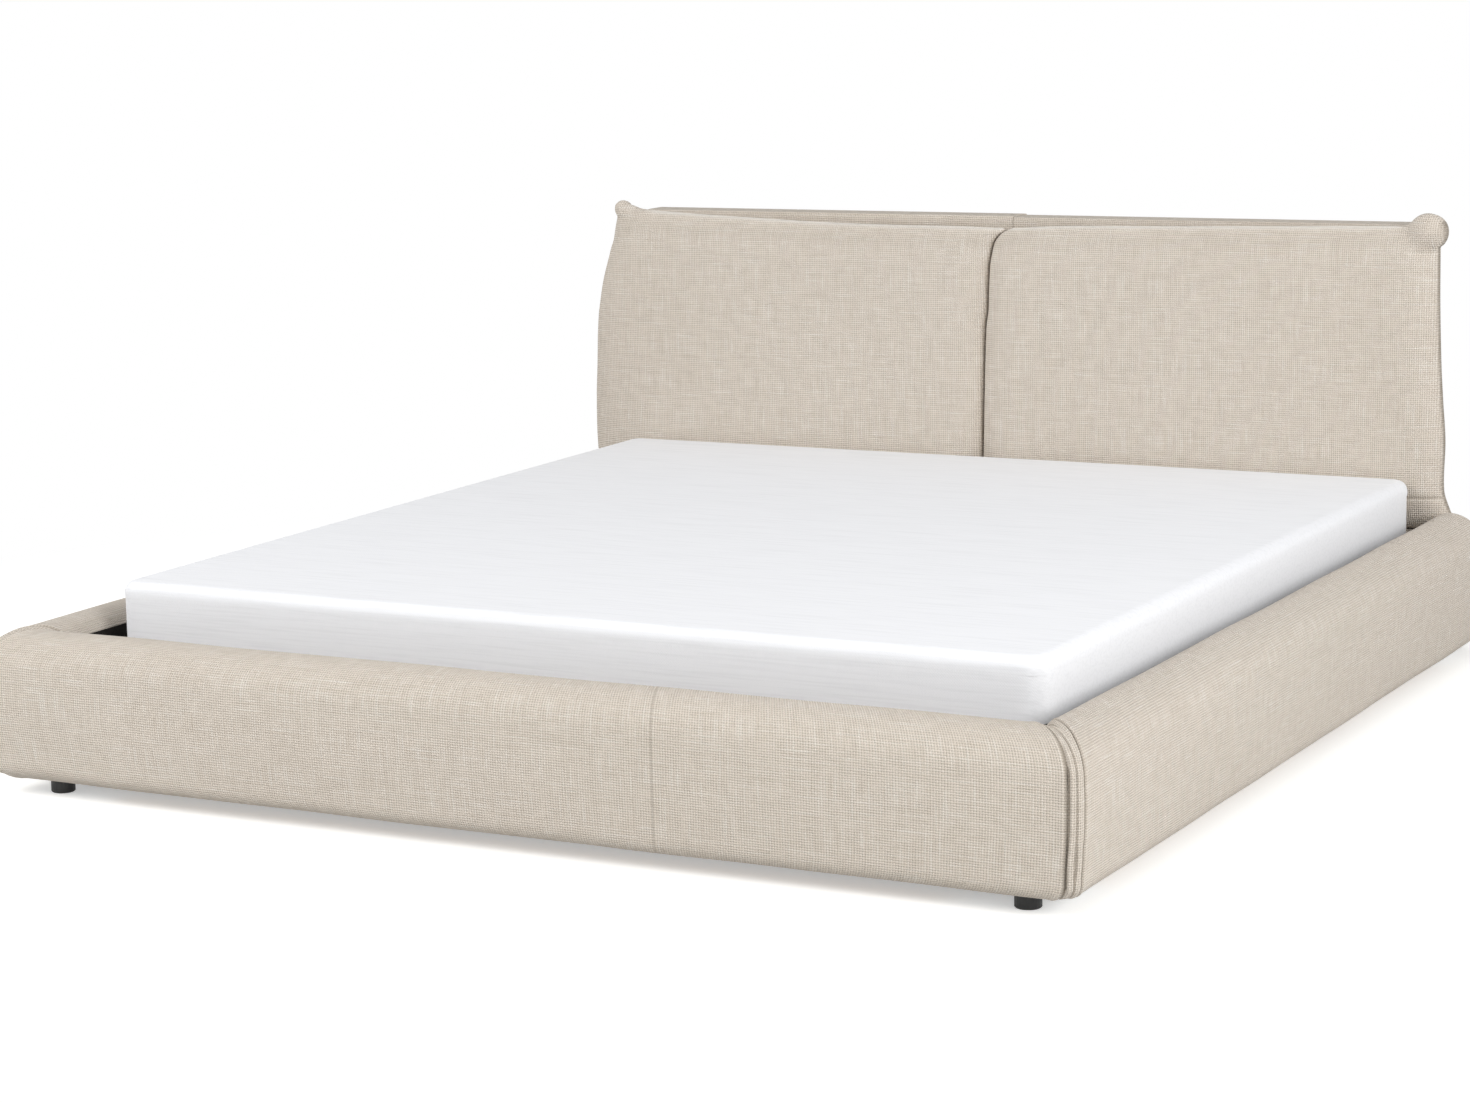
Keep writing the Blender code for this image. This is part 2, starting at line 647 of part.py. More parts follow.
def make_bolster(name, axis, direction):
    """One edge bolster, wide at its foot, mitred at both ends and rounded with the cover's corners."""
    outer_x = MATTRESS_WIDTH / 2 - COVER_WALL - SEAT
    low_y, high_y = MATTRESS_FOOT_Y + COVER_WALL + SEAT, MATTRESS_HEAD_Y - COVER_WALL - SEAT
    section = [(0, TUB_BOTTOM), (BOLSTER_FOOT_WIDTH, TUB_BOTTOM), (BOLSTER_CREST_WIDTH, TUB_TOP),
               (0, TUB_TOP)]
    ends = []
    for end in (-1, 1):
        ring = []
        for depth, z in section:
            if axis == "x":
                ring.append((end * (outer_x - depth - SEAT),
                             high_y - depth if direction > 0 else low_y + depth, z))
            else:
                ring.append((direction * (outer_x - depth),
                             high_y - depth if end > 0 else low_y + depth, z))
        ends.append(ring)
    bolster = make_object(name, loft(ends), FOAM)
    room = slab(mattress_outline(COVER_WALL + SEAT), TUB_BOTTOM - OVERRUN, TUB_TOP + OVERRUN)
    return boolean(bolster, "INTERSECT", room)


def make_insulation_and_heaters():
    mat = make_object("insulation_mat",
                      slab(mattress_outline(COVER_WALL + SEAT), MAT_BOTTOM, MAT_TOP), FOAM)
    middle_y = (MATTRESS_FOOT_Y + MATTRESS_HEAD_Y) / 2
    for word, side in SIDES:
        x = side * MATTRESS_WIDTH / 4
        half = (HEATER_WIDTH / 2, HEATER_LENGTH / 2)
        gland_y = middle_y - half[1] + GLAND_INSET
        pad = ((x - half[0], middle_y - half[1]), (x + half[0], middle_y + half[1]))
        gland = ((x - GLAND_WIDTH / 2, gland_y), (x + GLAND_WIDTH / 2, gland_y + GLAND_LENGTH))
        pad_bottom = MAT_TOP - HEATER_THICKNESS
        gland_bottom = pad_bottom - GLAND_DEPTH
        for (low, high), bottom in ((pad, pad_bottom), (gland, gland_bottom)):
            boolean(mat, "DIFFERENCE", box((low[0] - SEAT, low[1] - SEAT, bottom - SEAT),
                                           (high[0] + SEAT, high[1] + SEAT, MAT_TOP + OVERRUN)))
        heater = make_object(f"{word}_heater", box((*pad[0], pad_bottom), (*pad[1], MAT_TOP)), HEATER)
        boolean(heater, "UNION",
                box((*gland[0], gland_bottom), (*gland[1], MAT_TOP - HEATER_THICKNESS / 2)))


def make_tub():
    for word, side in SIDES:
        make_bolster(f"{word}_bolster", "y", side)
    make_bolster("foot_bolster", "x", -1)
    make_bolster("head_bolster", "x", 1)
    liner = make_object("safety_liner", tub_solid(SEAT, TUB_BOTTOM, TUB_TOP), LINER)
    boolean(liner, "DIFFERENCE",
            tub_solid(SEAT + LINER_WALL, TUB_BOTTOM + LINER_WALL, TUB_TOP + OVERRUN))


def water_bounds(side, z):
    x0, x1, y0, y1 = tub_bounds(2 * SEAT + LINER_WALL, z)
    inner = DIVIDER_WIDTH / 2 + SEAT
    return (x0, -inner, y0, y1) if side < 0 else (inner, x1, y0, y1)


def valve_place(side):
    return side * MATTRESS_WIDTH / 4, MATTRESS_FOOT_Y + BOLSTER_FOOT_WIDTH + VALVE_INSET


def make_water_cores():
    """Two filled vinyl cores with a divider between them and a screw cap on each filling neck."""
    bottom = TUB_BOTTOM + LINER_WALL + SEAT
    top = TUB_TOP - CAP_HEIGHT - VALVE_ROOM
    for word, side in SIDES:
        core = make_object(f"{word}_water_core",
                           frustum(water_bounds(side, bottom), water_bounds(side, top), bottom, top),
                           VINYL)
        soften(core, WATER_EDGE)
        boolean(core, "UNION",
                cylinder(valve_place(side), NECK_RADIUS, top - WATER_EDGE, top + NECK_HEIGHT))
        smooth(core)
        x, y = valve_place(side)
        pivot = joint_empty(f"{word}_valve_axis", (x, y, top))
        make_valve_cap(f"{word}_valve_cap", (x, y), top + SEAT, pivot)
    half = DIVIDER_WIDTH / 2
    ends = [(-half, half, *tub_bounds(2 * SEAT + LINER_WALL, z)[2:]) for z in (bottom, top)]
    make_object("thermal_divider", frustum(*ends, bottom, top), FOAM)


def make_valve_cap(name, place, bottom, pivot):
    """A screw cap with finger grips, hollow below so that it goes over the filling neck."""
    top = bottom + CAP_HEIGHT
    points = 2 * CAP_GRIPS
    rings = []
    for z in (bottom, top):
        ring = []
        for k in range(points):
            radius = CAP_RADIUS - (CAP_GRIP_DEPTH if k % 2 else 0)
            angle = 2 * math.pi * k / points
            ring.append((place[0] + radius * math.cos(angle), place[1] + radius * math.sin(angle), z))
        rings.append(ring)
    cap = make_object(name, loft(rings), WHITE_PLASTIC, pivot)
    boolean(cap, "DIFFERENCE", cylinder(place, NECK_RADIUS + SEAT, bottom - OVERRUN, top - CAP_WALL))


def make_cover():
    cover_ring("cover_base", MATTRESS_BOTTOM, ZIP_BOTTOM - SEAT, BASE_CLOTH, COVER_WALL)
    cover_ring("zip_chain", ZIP_BOTTOM, ZIP_TOP, BLACK_PLASTIC)
    lift = joint_empty("cover_lift_axis", (0, (MATTRESS_FOOT_Y + MATTRESS_HEAD_Y) / 2, MATTRESS_TOP))
    cover_ring("cover_border", ZIP_TOP + SEAT, QUILT_BOTTOM - SEAT, COVER, 0, lift)
    make_object("cover_top", quilt(), COVER, lift)
    smooth(bpy.data.objects["cover_top"])


def quilt():
    """The quilted top: a slab with the mattress's rounded upper edge."""
    sections = [(0, QUILT_BOTTOM), (0, MATTRESS_TOP - QUILT_EDGE)]
    for degrees in (30, 60, 90):
        angle = math.radians(degrees)
        sections.append((QUILT_EDGE * (1 - math.cos(angle)),
                         MATTRESS_TOP - QUILT_EDGE * (1 - math.sin(angle))))
    return loft([[(x, y, z) for x, y in mattress_outline(inset)] for inset, z in sections])


def make_zip_slider():
    """The slider rides on the zip along the right side, with its pull hanging towards the foot."""
    x = MATTRESS_WIDTH / 2 + SEAT
    y = MATTRESS_FOOT_Y + ZIP_START
    z = (ZIP_BOTTOM + ZIP_TOP) / 2
    pivot = joint_empty("zip_axis", (x, y, z))
    half_y, half_z = ZIP_SLIDER_LENGTH / 2, ZIP_SLIDER_HEIGHT / 2
    slider = make_object("zip_slider",
                         box((x, y - half_y, z - half_z), (x + ZIP_SLIDER_DEPTH, y + half_y, z + half_z)),
                         STEEL, pivot)
    soften(slider, ZIP_SLIDER_EDGE)
    pull_x = x + ZIP_SLIDER_DEPTH - ZIP_PULL_DEPTH / 2
    boolean(slider, "UNION",
            box((pull_x, y - half_y - ZIP_PULL_LENGTH, z - ZIP_PULL_HEIGHT / 2),
                (pull_x + ZIP_PULL_DEPTH, y - half_y / 2, z + ZIP_PULL_HEIGHT / 2)))


# Headboard cushions, hung by flaps over the top of the headboard

def quarter_rise(distance, radius):
    """How far a stuffed surface has risen at a distance in from its seam: 0 at the seam, 1 inside."""
    reach = min(distance / radius, 1)
    return math.sqrt(1 - (1 - reach) ** 2)


def ease(value):
    value = min(max(value, 0), 1)
    return value * value * (3 - 2 * value)


def cushion_span(side):
    """Where the cushion's inner seam is, and how far out its outer seam reaches."""
    inner = CUSHION_SPLIT + side * CUSHION_GAP / 2
    return inner, abs(CUSHION_MIDDLE + side * CUSHION_HALF_SPAN - inner)


def ear_pull(from_outer, from_top):
    """1 at the outer top corner, falling away along both seams."""
    return math.exp(-(from_outer / EAR_SPREAD) ** 2 - (from_top / EAR_SPREAD) ** 2)


def cushion_point(side, u, t, face):
    """A point of the cushion: u from inner to outer seam, t from bottom to top, face -1 front, 1 back."""
    inner, width = cushion_span(side)
    sag = RIDGE_SAG * (1 - ease((u * width - RIDGE_SAG_START) / (RIDGE_SAG_END - RIDGE_SAG_START)))
    height = CUSHION_TOP - sag - CUSHION_BOTTOM
    from_outer, from_top = (1 - u) * width, (1 - t) * height
    pull = ear_pull(from_outer, from_top)
    round_radius = CUSHION_ROUND * (1 - EAR_FULLNESS_SHARE * pull)
    rise_across = quarter_rise(min(u, 1 - u) * width, round_radius)
    rise_up = quarter_rise(min(t, 1 - t) * height, round_radius)
    flare = (CUSHION_FOOT_FLARE * (1 - t) ** 4 - CUSHION_TOP_DRAW * t ** 4
             - CUSHION_SIDE_DRAW * math.sin(math.pi * t))
    x = inner + side * (u * width + u ** 4 * flare + EAR_REACH * pull)
    z = CUSHION_BOTTOM + t * height + EAR_RISE * pull
    if face < 0:
        x += side * CUSHION_SIDE_BULGE * u ** 8 * rise_across * rise_up
        y = (CUSHION_SEAM_Y - CUSHION_SEAM - CUSHION_CROWN * rise_across * rise_up
             - EAR_WIDTH * pull * rise_across * rise_up)
    else:
        back_rise = (quarter_rise(min(u, 1 - u) * width, CUSHION_BACK_ROUND)
                     * quarter_rise(min(t, 1 - t) * height, CUSHION_BACK_ROUND))
        y = CUSHION_SEAM_Y + CUSHION_BACK * back_rise
    return x, y, z


def seam_spacing(step, steps):
    """Even steps, drawn towards both seams, from 0 to 1."""
    return (1 - math.cos(math.pi * step / steps)) / 2


def cushion(side):
    """Front and back grids of one stuffed cushion, joined along its seam."""
    shape = bmesh.new()
    grids = {}
    for face in (-1, 1):
        grids[face] = [[shape.verts.new(cushion_point(side, seam_spacing(i, CUSHION_COLUMNS),
                                                      seam_spacing(j, CUSHION_ROWS), face))
                        for i in range(CUSHION_COLUMNS + 1)] for j in range(CUSHION_ROWS + 1)]
        for j in range(CUSHION_ROWS):
            for i in range(CUSHION_COLUMNS):
                low, high = grids[face][j], grids[face][j + 1]
                shape.faces.new((low[i], low[i + 1], high[i + 1], high[i]))
    border = [edge for edge in shape.edges if edge.is_boundary]
    bmesh.ops.bridge_loops(shape, edges=border)
    return shape


def flap_outline():
    """Section of a flap: down in front of the upholstery, over its top, and down its back."""
    front, back = HEAD_FRONT_Y - SEAT - FLAP, FLAP_INNER_Y
    top = HEAD_TOP + SEAT
    return [(front, HEAD_TOP - FLAP_FRONT_DROP), (front + FLAP, HEAD_TOP - FLAP_FRONT_DROP),
            (front + FLAP, top), (back, top), (back, HEAD_TOP - FLAP_BACK_DROP),
            (back + FLAP, HEAD_TOP - FLAP_BACK_DROP), (back + FLAP, top + FLAP), (front, top + FLAP)]


def make_cushions():
    for word, side in SIDES:
        inner, width = cushion_span(side)
        lift = joint_empty(f"{word}_cushion_lift_axis",
                           (inner + side * width / 2, CUSHION_SEAM_Y, CUSHION_BOTTOM))
        smooth(make_object(f"{word}_cushion", cushion(side), CLOTH, lift))
        ends = (inner, side * (BOARD_WIDTH / 2 + HEAD_SIDE_PAD - FLAP_INSET))
        flap = loft([[(x, y, z) for y, z in flap_outline()] for x in ends])
        make_object(f"{word}_flap", flap, CLOTH, lift)
        make_hook_strip(word, side, ends, lift)


def make_hook_strip(word, side, ends, lift):
    """The sewn strip that presses the flap's rear hem to the back of the headboard."""
    near, far = ends[0] + side * HOOK_STRIP_INSET, ends[1] - side * HOOK_STRIP_INSET
    low = HEAD_TOP - FLAP_BACK_DROP + HOOK_STRIP_LIFT
    front = HEAD_BACK_Y + SEAT
    make_object(f"{word}_hook_strip",
                box((min(near, far), front, low),
                    (max(near, far), front + HOOK_STRIP, low + HOOK_STRIP_HEIGHT)), HOOK_CLOTH, lift)


def clear_scene():
    for thing in list(bpy.data.objects):
        bpy.data.objects.remove(thing, do_unlink=True)


def main():
    clear_scene()
    make_rails()
    make_head_beam()
    make_headboard()
    make_corners()
    make_pedestal()
    make_ledgers()
    make_deck()
    make_insulation_and_heaters()
    make_tub()
    make_water_cores()
    make_cover()
    make_zip_slider()
    make_cushions()


main()
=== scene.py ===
"""Softside waterbed in an upholstered frame with two hung headboard cushions.

Metres, +Z up, +Y towards the headboard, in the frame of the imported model.
"""

from __future__ import annotations

import logging
import math
from bisect import bisect_right
from dataclasses import dataclass, field
from enum import Enum
from typing import Any, Callable, Iterable, Sequence

import bmesh
import bpy
from mathutils import Matrix, Vector, noise


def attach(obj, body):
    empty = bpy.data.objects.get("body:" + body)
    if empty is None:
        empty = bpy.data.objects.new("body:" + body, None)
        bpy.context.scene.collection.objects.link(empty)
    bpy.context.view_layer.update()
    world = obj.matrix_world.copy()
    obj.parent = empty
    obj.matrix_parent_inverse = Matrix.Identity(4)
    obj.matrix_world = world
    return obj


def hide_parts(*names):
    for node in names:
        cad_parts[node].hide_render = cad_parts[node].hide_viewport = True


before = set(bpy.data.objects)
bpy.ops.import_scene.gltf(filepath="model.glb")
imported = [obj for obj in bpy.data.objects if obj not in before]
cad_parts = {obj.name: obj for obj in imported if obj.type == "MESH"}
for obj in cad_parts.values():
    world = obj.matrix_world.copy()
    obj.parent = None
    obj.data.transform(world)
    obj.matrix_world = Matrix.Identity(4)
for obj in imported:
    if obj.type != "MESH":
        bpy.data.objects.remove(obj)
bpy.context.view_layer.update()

LOG = logging.getLogger("waterbed")

Pair = tuple[float, float]
Place = tuple[float, float, float]
Line = Sequence[Pair]
Shape = bmesh.types.BMesh
Socket = bpy.types.NodeSocket
Material = bpy.types.Material
Stain = tuple[str, Socket, float, float, Any]

SIDES = (("left", -1), ("right", 1))
SEAT = 0.0003
WEAVE = "weave"
# Vertex layer of painted shade (above 0) and painted highlight (below 0) on the upholstery
PAINTED_SHADING_LAYER = "seam"

# Frame
RAIL_INNER_X, RAIL_INNER_Y = 0.942, -1.05685
UNDERSIDE, RAIL_TOP, TIMBER_TOP = 0.0303, 0.2973, 0.2503
BEAM_FRONT_Y = 1.00715

# Mattress
MATTRESS_X, MATTRESS_FOOT_Y, MATTRESS_HEAD_Y = 0.900, -0.93485, 1.00515
MATTRESS_MIDDLE_Y = (MATTRESS_FOOT_Y + MATTRESS_HEAD_Y) / 2
MATTRESS_LENGTH = MATTRESS_HEAD_Y - MATTRESS_FOOT_Y
MATTRESS_BOTTOM, MATTRESS_TOP, MATTRESS_CORNER = 0.1606, 0.3606, 0.035

# Head end
SEAM_Y, CUSHION_BOTTOM = 1.05055, 0.2506


def srgb(code: str) -> tuple[float, float, float, float]:
    """Turn a colour to linear light.

    Args:
        code: sRGB hex value such as "D8CEBF".

    Returns:
        Red, green, blue and an alpha of 1.
    """
    channels = [int(code[i:i + 2], 16) / 255 for i in (0, 2, 4)]
    linear = [c / 12.92 if c <= 0.04045 else ((c + 0.055) / 1.055) ** 2.4 for c in channels]
    return (linear[0], linear[1], linear[2], 1.0)


def add_node(tree: bpy.types.NodeTree, kind: str, inputs: dict[Any, Any] | None = None,
             take: int | str = 0, **settings: Any) -> Socket:
    """Add a node with its settings and links.

    Args:
        tree: Node tree that gets the node.
        kind: The node's type, without "ShaderNode".
        inputs: Values or output sockets, by the input's name or number.
        take: Name or number of the output that is wanted.
        **settings: Properties of the node.

    Returns:
        The wanted output socket.
    """
    node = tree.nodes.new("ShaderNode" + kind)
    for key, value in settings.items():
        setattr(node, key, value)
    for key, value in (inputs or {}).items():
        plug(tree, node.inputs[key], value)
    return node.outputs[take] if len(node.outputs) else None


def plug(tree: bpy.types.NodeTree, socket: Socket, value: Any) -> None:
    """Link a socket to an output, or set its value."""
    if isinstance(value, Socket):
        tree.links.new(value, socket)
    else:
        socket.default_value = value


class Recipe:
    """One material's nodes, around its shader."""

    def __init__(self, name: str) -> None:
        """Start a material of this name with a plain shader."""
        self.material = bpy.data.materials.new(name)
        self.material.use_nodes = True
        self.tree = self.material.node_tree
        self.shader = self.tree.nodes["Principled BSDF"]

    def add(self, kind: str, inputs: dict[Any, Any] | None = None, take: int | str = 0,
            **settings: Any) -> Socket:
        """Add a node to this material's tree."""
        return add_node(self.tree, kind, inputs, take, **settings)

    def stained(self, body: str, *stains: Stain) -> Socket:
        """Lay tints over a colour, one after another.

        Args:
            body: The colour below.
            *stains: Each tint's colour, its pattern, the pattern's values where the tint
                starts and is full, and the share it then covers.

        Returns:
            The stained colour.
        """
        colour: Any = srgb(body)
        for tint, pattern, start, full, cover in stains:
            share = self.add("MapRange", {"Value": pattern, "From Min": start, "From Max": full,
                                          "To Max": cover})
            colour = self.add("Mix", {0: share, 6: colour, 7: srgb(tint)}, 2, data_type="RGBA")
        return colour

    def finish(self, colour: Socket, height: Socket, relief: Pair, roughness: Any,
               more: dict[str, float] | None = None) -> Material:
        """Give the shader its colour, relief and gloss.

        Args:
            colour: The surface's colour.
            height: The pattern that stands up from it.
            relief: The bump's strength, and its depth in metres.
            roughness: A value, or a pattern.
            more: Values of the shader's other sockets.

        Returns:
            The finished material.
        """
        normal = self.add("Bump", {"Height": height, "Strength": relief[0],
                                   "Distance": relief[1]})
        sockets = {"Base Color": colour, "Normal": normal, "Roughness": roughness, **(more or {})}
        for key, value in sockets.items():
            plug(self.tree, self.shader.inputs[key], value)
        return self.material


# Finishes

@dataclass(frozen=True)
class WovenUpholstery:
    """Polyester upholstery cloth, basket woven with slubs: matt, a soft sheen on its folds."""

    body: str = "E2D8CC"
    # Paler yarn, and also the painted highlight along the cushions' ridge
    light: str = "EFEAE2"
    dark: str = "CBBFB0"
    # Painted shade in the hollows between the threads
    gap: str = "8F8373"
    # Painted shade in seams and creases, under the cushions' ridge and on the flaps
    painted_shade: str = "6F6353"
    thread: float = 0.0043
    slub: Pair = (0.080, 0.0032)
    relief: float = 0.0009

    def build(self) -> Material:
        """Make the material: threads 4.3 mm wide as photographed, painted shade in the gaps, yarn
        streaks.
        """
        recipe = Recipe("woven_upholstery")
        add = recipe.add
        cloth = add("UVMap", uv_map=WEAVE)
        drift = add("TexNoise", {"Vector": cloth, "Scale": 1 / 0.11, "Detail": 2.0}, "Color")
        laid = add("VectorMath", {0: drift, 1: (0.003, 0.003, 0.0), 2: cloth},
                   operation="MULTIPLY_ADD")
        turns = add("VectorMath", {0: laid, 1: (math.pi / self.thread, math.pi / self.thread,
                                                0.0)}, operation="MULTIPLY")
        warp, weft = (add("Math", {0: add("SeparateXYZ", {0: turns}, axis)}, operation="SINE")
                      for axis in ("X", "Y"))
        warp_round, weft_round = (add("Math", {0: wave, 1: wave}, operation="MULTIPLY")
                                  for wave in (warp, weft))
        over = add("Math", {0: warp, 1: weft}, operation="MULTIPLY")
        both = add("Math", {0: warp_round, 1: weft_round}, operation="ADD")
        differ = add("Math", {0: warp_round, 1: weft_round}, operation="SUBTRACT")
        height = add("Math", {0: over, 1: differ, 2: both}, operation="MULTIPLY_ADD")
        # Paler and duller yarns run 5 to 10 cm along either thread and are under a thread wide
        along, across = 1 / self.slub[0], 1 / self.slub[1]
        streaks = []
        for offset, scale in ((0.0, (along, across, 1.0)), (7.3, (across, along, 1.0))):
            stretched = add("Mapping", {"Vector": laid, "Location": (offset, offset, 0.0),
                                        "Scale": scale})
            streaks.append(add("TexNoise", {"Vector": stretched, "Scale": 1.0, "Detail": 1.0}))
        most, least = (add("Math", {0: streaks[0], 1: streaks[1]}, operation=pick)
                       for pick in ("MAXIMUM", "MINIMUM"))
        fleck = add("TexNoise", {"Vector": laid, "Scale": 1 / 0.004, "Detail": 2.0})
        worn = add("TexNoise", {"Vector": cloth, "Scale": 1 / 0.35, "Detail": 3.0})
        patch = add("TexNoise", {"Vector": laid, "Scale": 1 / 0.022, "Detail": 3.0})
        # The patches change how much painted shade the weave's hollows get
        open_weave = add("MapRange", {"Value": patch, "From Min": 0.38, "From Max": 0.62,
                                      "To Min": 0.50, "To Max": 0.70})
        # Painted shade above 0 and a painted highlight below 0, read from the vertex layer
        painted_shading = add("Attribute", take="Fac", attribute_name=PAINTED_SHADING_LAYER, attribute_type="GEOMETRY")
        colour = recipe.stained(
            self.body, (self.light, most, 0.58, 0.70, 0.62), (self.dark, least, 0.42, 0.30, 0.38),
            (self.dark, fleck, 0.35, 0.70, 0.22), (self.dark, worn, 0.35, 0.65, 0.10),
            # Painted shade in the weave's hollows and from the layer, then the layer's painted
            # highlight
            (self.gap, height, 1.25, 0.10, open_weave), (self.painted_shade, painted_shading, 0.0, 1.0, 0.75),
            (self.light, painted_shading, 0.0, -1.0, 0.70))
        return recipe.finish(colour, height, (1.0, self.relief), 0.92,
                             {"Specular IOR Level": 0.25, "Sheen Weight": 0.12,
                              "Sheen Roughness": 0.6})


@dataclass(frozen=True)
class CoverKnit:
    """Double jersey knit of a mattress cover: white, matt, with faint cross slubs."""

    name: str
    body: str
    shade: str
    course: float = 0.0024

    def build(self) -> Material:
        """Make the material; its courses are drawn at 2.4 mm, twice the real size, to show."""
        recipe = Recipe(self.name)
        add = recipe.add
        place = add("TexCoord", take="Object")
        stretched = add("Mapping", {"Vector": place, "Scale": (1 / 0.16, 1 / 0.006, 1 / 0.004)})
        slub = add("TexNoise", {"Vector": stretched, "Scale": 1.0, "Detail": 2.0})
        loops = add("VectorMath", {0: place, 1: (math.pi / self.course,) * 3},
                    operation="MULTIPLY")
        ribs = [add("Math", {0: add("SeparateXYZ", {0: loops}, axis)}, operation="SINE")
                for axis in ("X", "Y", "Z")]
        pair = add("Math", {0: ribs[0], 1: ribs[1]}, operation="MULTIPLY")
        knit = add("Math", {0: pair, 1: ribs[2], 2: slub}, operation="MULTIPLY_ADD")
        colour = recipe.stained(self.body, (self.shade, slub, 0.45, 0.72, 0.5))
        return recipe.finish(colour, knit, (0.35, 0.0004), 0.88,
                             {"Specular IOR Level": 0.3, "Sheen Weight": 0.1})


@dataclass(frozen=True)
class FeltCloth:
    """Needled or non-woven polyester of linings and hook tape: matt fibres, no thread lines."""

    name: str
    body: str
    fibre: str
    size: float = 0.003
    relief: float = 0.0003

    def build(self) -> Material:
        """Make the material; its tufts are drawn 2 to 3 mm apart, coarser than real, to show."""
        recipe = Recipe(self.name)
        place = recipe.add("TexCoord", take="Object")
        fibres = recipe.add("TexNoise", {"Vector": place, "Scale": 1 / self.size, "Detail": 4.0,
                                         "Roughness": 0.7})
        colour = recipe.stained(self.body, (self.fibre, fibres, 0.35, 0.7, 1.0))
        return recipe.finish(colour, fibres, (0.6, self.relief), 0.95,
                             {"Specular IOR Level": 0.15})


@dataclass(frozen=True)
class Moulded:
    """Injection moulded plastic: even colour, satin gloss, fine spark-eroded texture."""

    name: str
    body: str
    worn: str
    roughness: float = 0.45
    grit: float = 0.0012

    def build(self) -> Material:
        """Make the material with a fine grit and rubbed patches."""
        recipe = Recipe(self.name)
        add = recipe.add
        place = add("TexCoord", take="Object")
        grit = add("TexNoise", {"Vector": place, "Scale": 1 / self.grit, "Detail": 2.0})
        rubbed = add("TexNoise", {"Vector": place, "Scale": 1 / 0.012, "Detail": 3.0})
        gloss = add("MapRange", {"Value": rubbed, "From Min": 0.3, "From Max": 0.7,
                                 "To Min": self.roughness - 0.08, "To Max": self.roughness + 0.1})
        colour = recipe.stained(self.body, (self.worn, rubbed, 0.5, 0.75, 0.5))
        return recipe.finish(colour, grit, (0.35, 0.00015), gloss, {"IOR": 1.5})


@dataclass(frozen=True)
class SoftVinyl:
    """Calendered PVC film: smooth and slightly glossy, with faint ripples and a welded look."""

    name: str
    body: str
    deep: str
    roughness: float = 0.28
    ripple: float = 0.035

    def build(self) -> Material:
        """Make the material with broad ripples and a fine emboss."""
        recipe = Recipe(self.name)
        add = recipe.add
        place = add("TexCoord", take="Object")
        ripple = add("TexNoise", {"Vector": place, "Scale": 1 / self.ripple, "Detail": 2.0})
        emboss = add("TexVoronoi", {"Vector": place, "Scale": 1 / 0.002}, "Distance")
        height = add("Math", {0: emboss, 1: 0.05, 2: ripple}, operation="MULTIPLY_ADD")
        gloss = add("MapRange", {"Value": ripple, "From Min": 0.3, "From Max": 0.7,
                                 "To Min": self.roughness, "To Max": self.roughness + 0.12})
        colour = recipe.stained(self.body, (self.deep, ripple, 0.35, 0.65, 1.0))
        return recipe.finish(colour, height, (0.3, 0.002), gloss, {"IOR": 1.53})


@dataclass(frozen=True)
class OpenFoam:
    """Flexible foam with open cells: matt, slightly mottled, pitted all over."""

    body: str = "E9E2C4"
    mottle_and_pit_shade: str = "C9BE97"
    cell: float = 0.0035

    def build(self) -> Material:
        """Make the material; the cells are drawn at 3.5 mm, three times the real size, to show."""
        recipe = Recipe("open_cell_foam")
        place = recipe.add("TexCoord", take="Object")
        cells = recipe.add("TexVoronoi", {"Vector": place, "Scale": 1 / self.cell}, "Distance")
        mottle = recipe.add("TexNoise", {"Vector": place, "Scale": 1 / 0.09, "Detail": 3.0})
        # Painted shade in the cells' pits, and a random mottle
        colour = recipe.stained(self.body, (self.mottle_and_pit_shade, cells, 0.6, 0.1, 0.7),
                                (self.mottle_and_pit_shade, mottle, 0.4, 0.7, 0.3))
        return recipe.finish(colour, cells, (0.7, 0.0008), 0.97, {"Specular IOR Level": 0.1})


class Grain(Enum):
    """The direction that timber's grain runs in."""

    ALONG_X = (1 / 0.35, 1 / 0.006, 1 / 0.006)
    ALONG_Y = (1 / 0.006, 1 / 0.35, 1 / 0.006)


@dataclass(frozen=True)
class SawnPine:
    """Planed pine: pale yellow wood with darker growth lines some millimetres apart."""

    name: str
    grain: Grain
    body: str = "DDBE8A"
    late: str = "B98A50"

    def build(self) -> Material:
        """Make the material with growth lines along the board and fine pores."""
        recipe = Recipe(self.name)
        add = recipe.add
        run = add("Mapping", {"Vector": add("TexCoord", take="Object"), "Scale": self.grain.value})
        lines = add("TexNoise", {"Vector": run, "Scale": 1.0, "Detail": 4.0, "Distortion": 0.6})
        pores = add("TexNoise", {"Vector": run, "Scale": 6.0, "Detail": 2.0})
        colour = recipe.stained(self.body, (self.late, lines, 0.42, 0.62, 1.0))
        return recipe.finish(colour, pores, (0.3, 0.0003), 0.62)


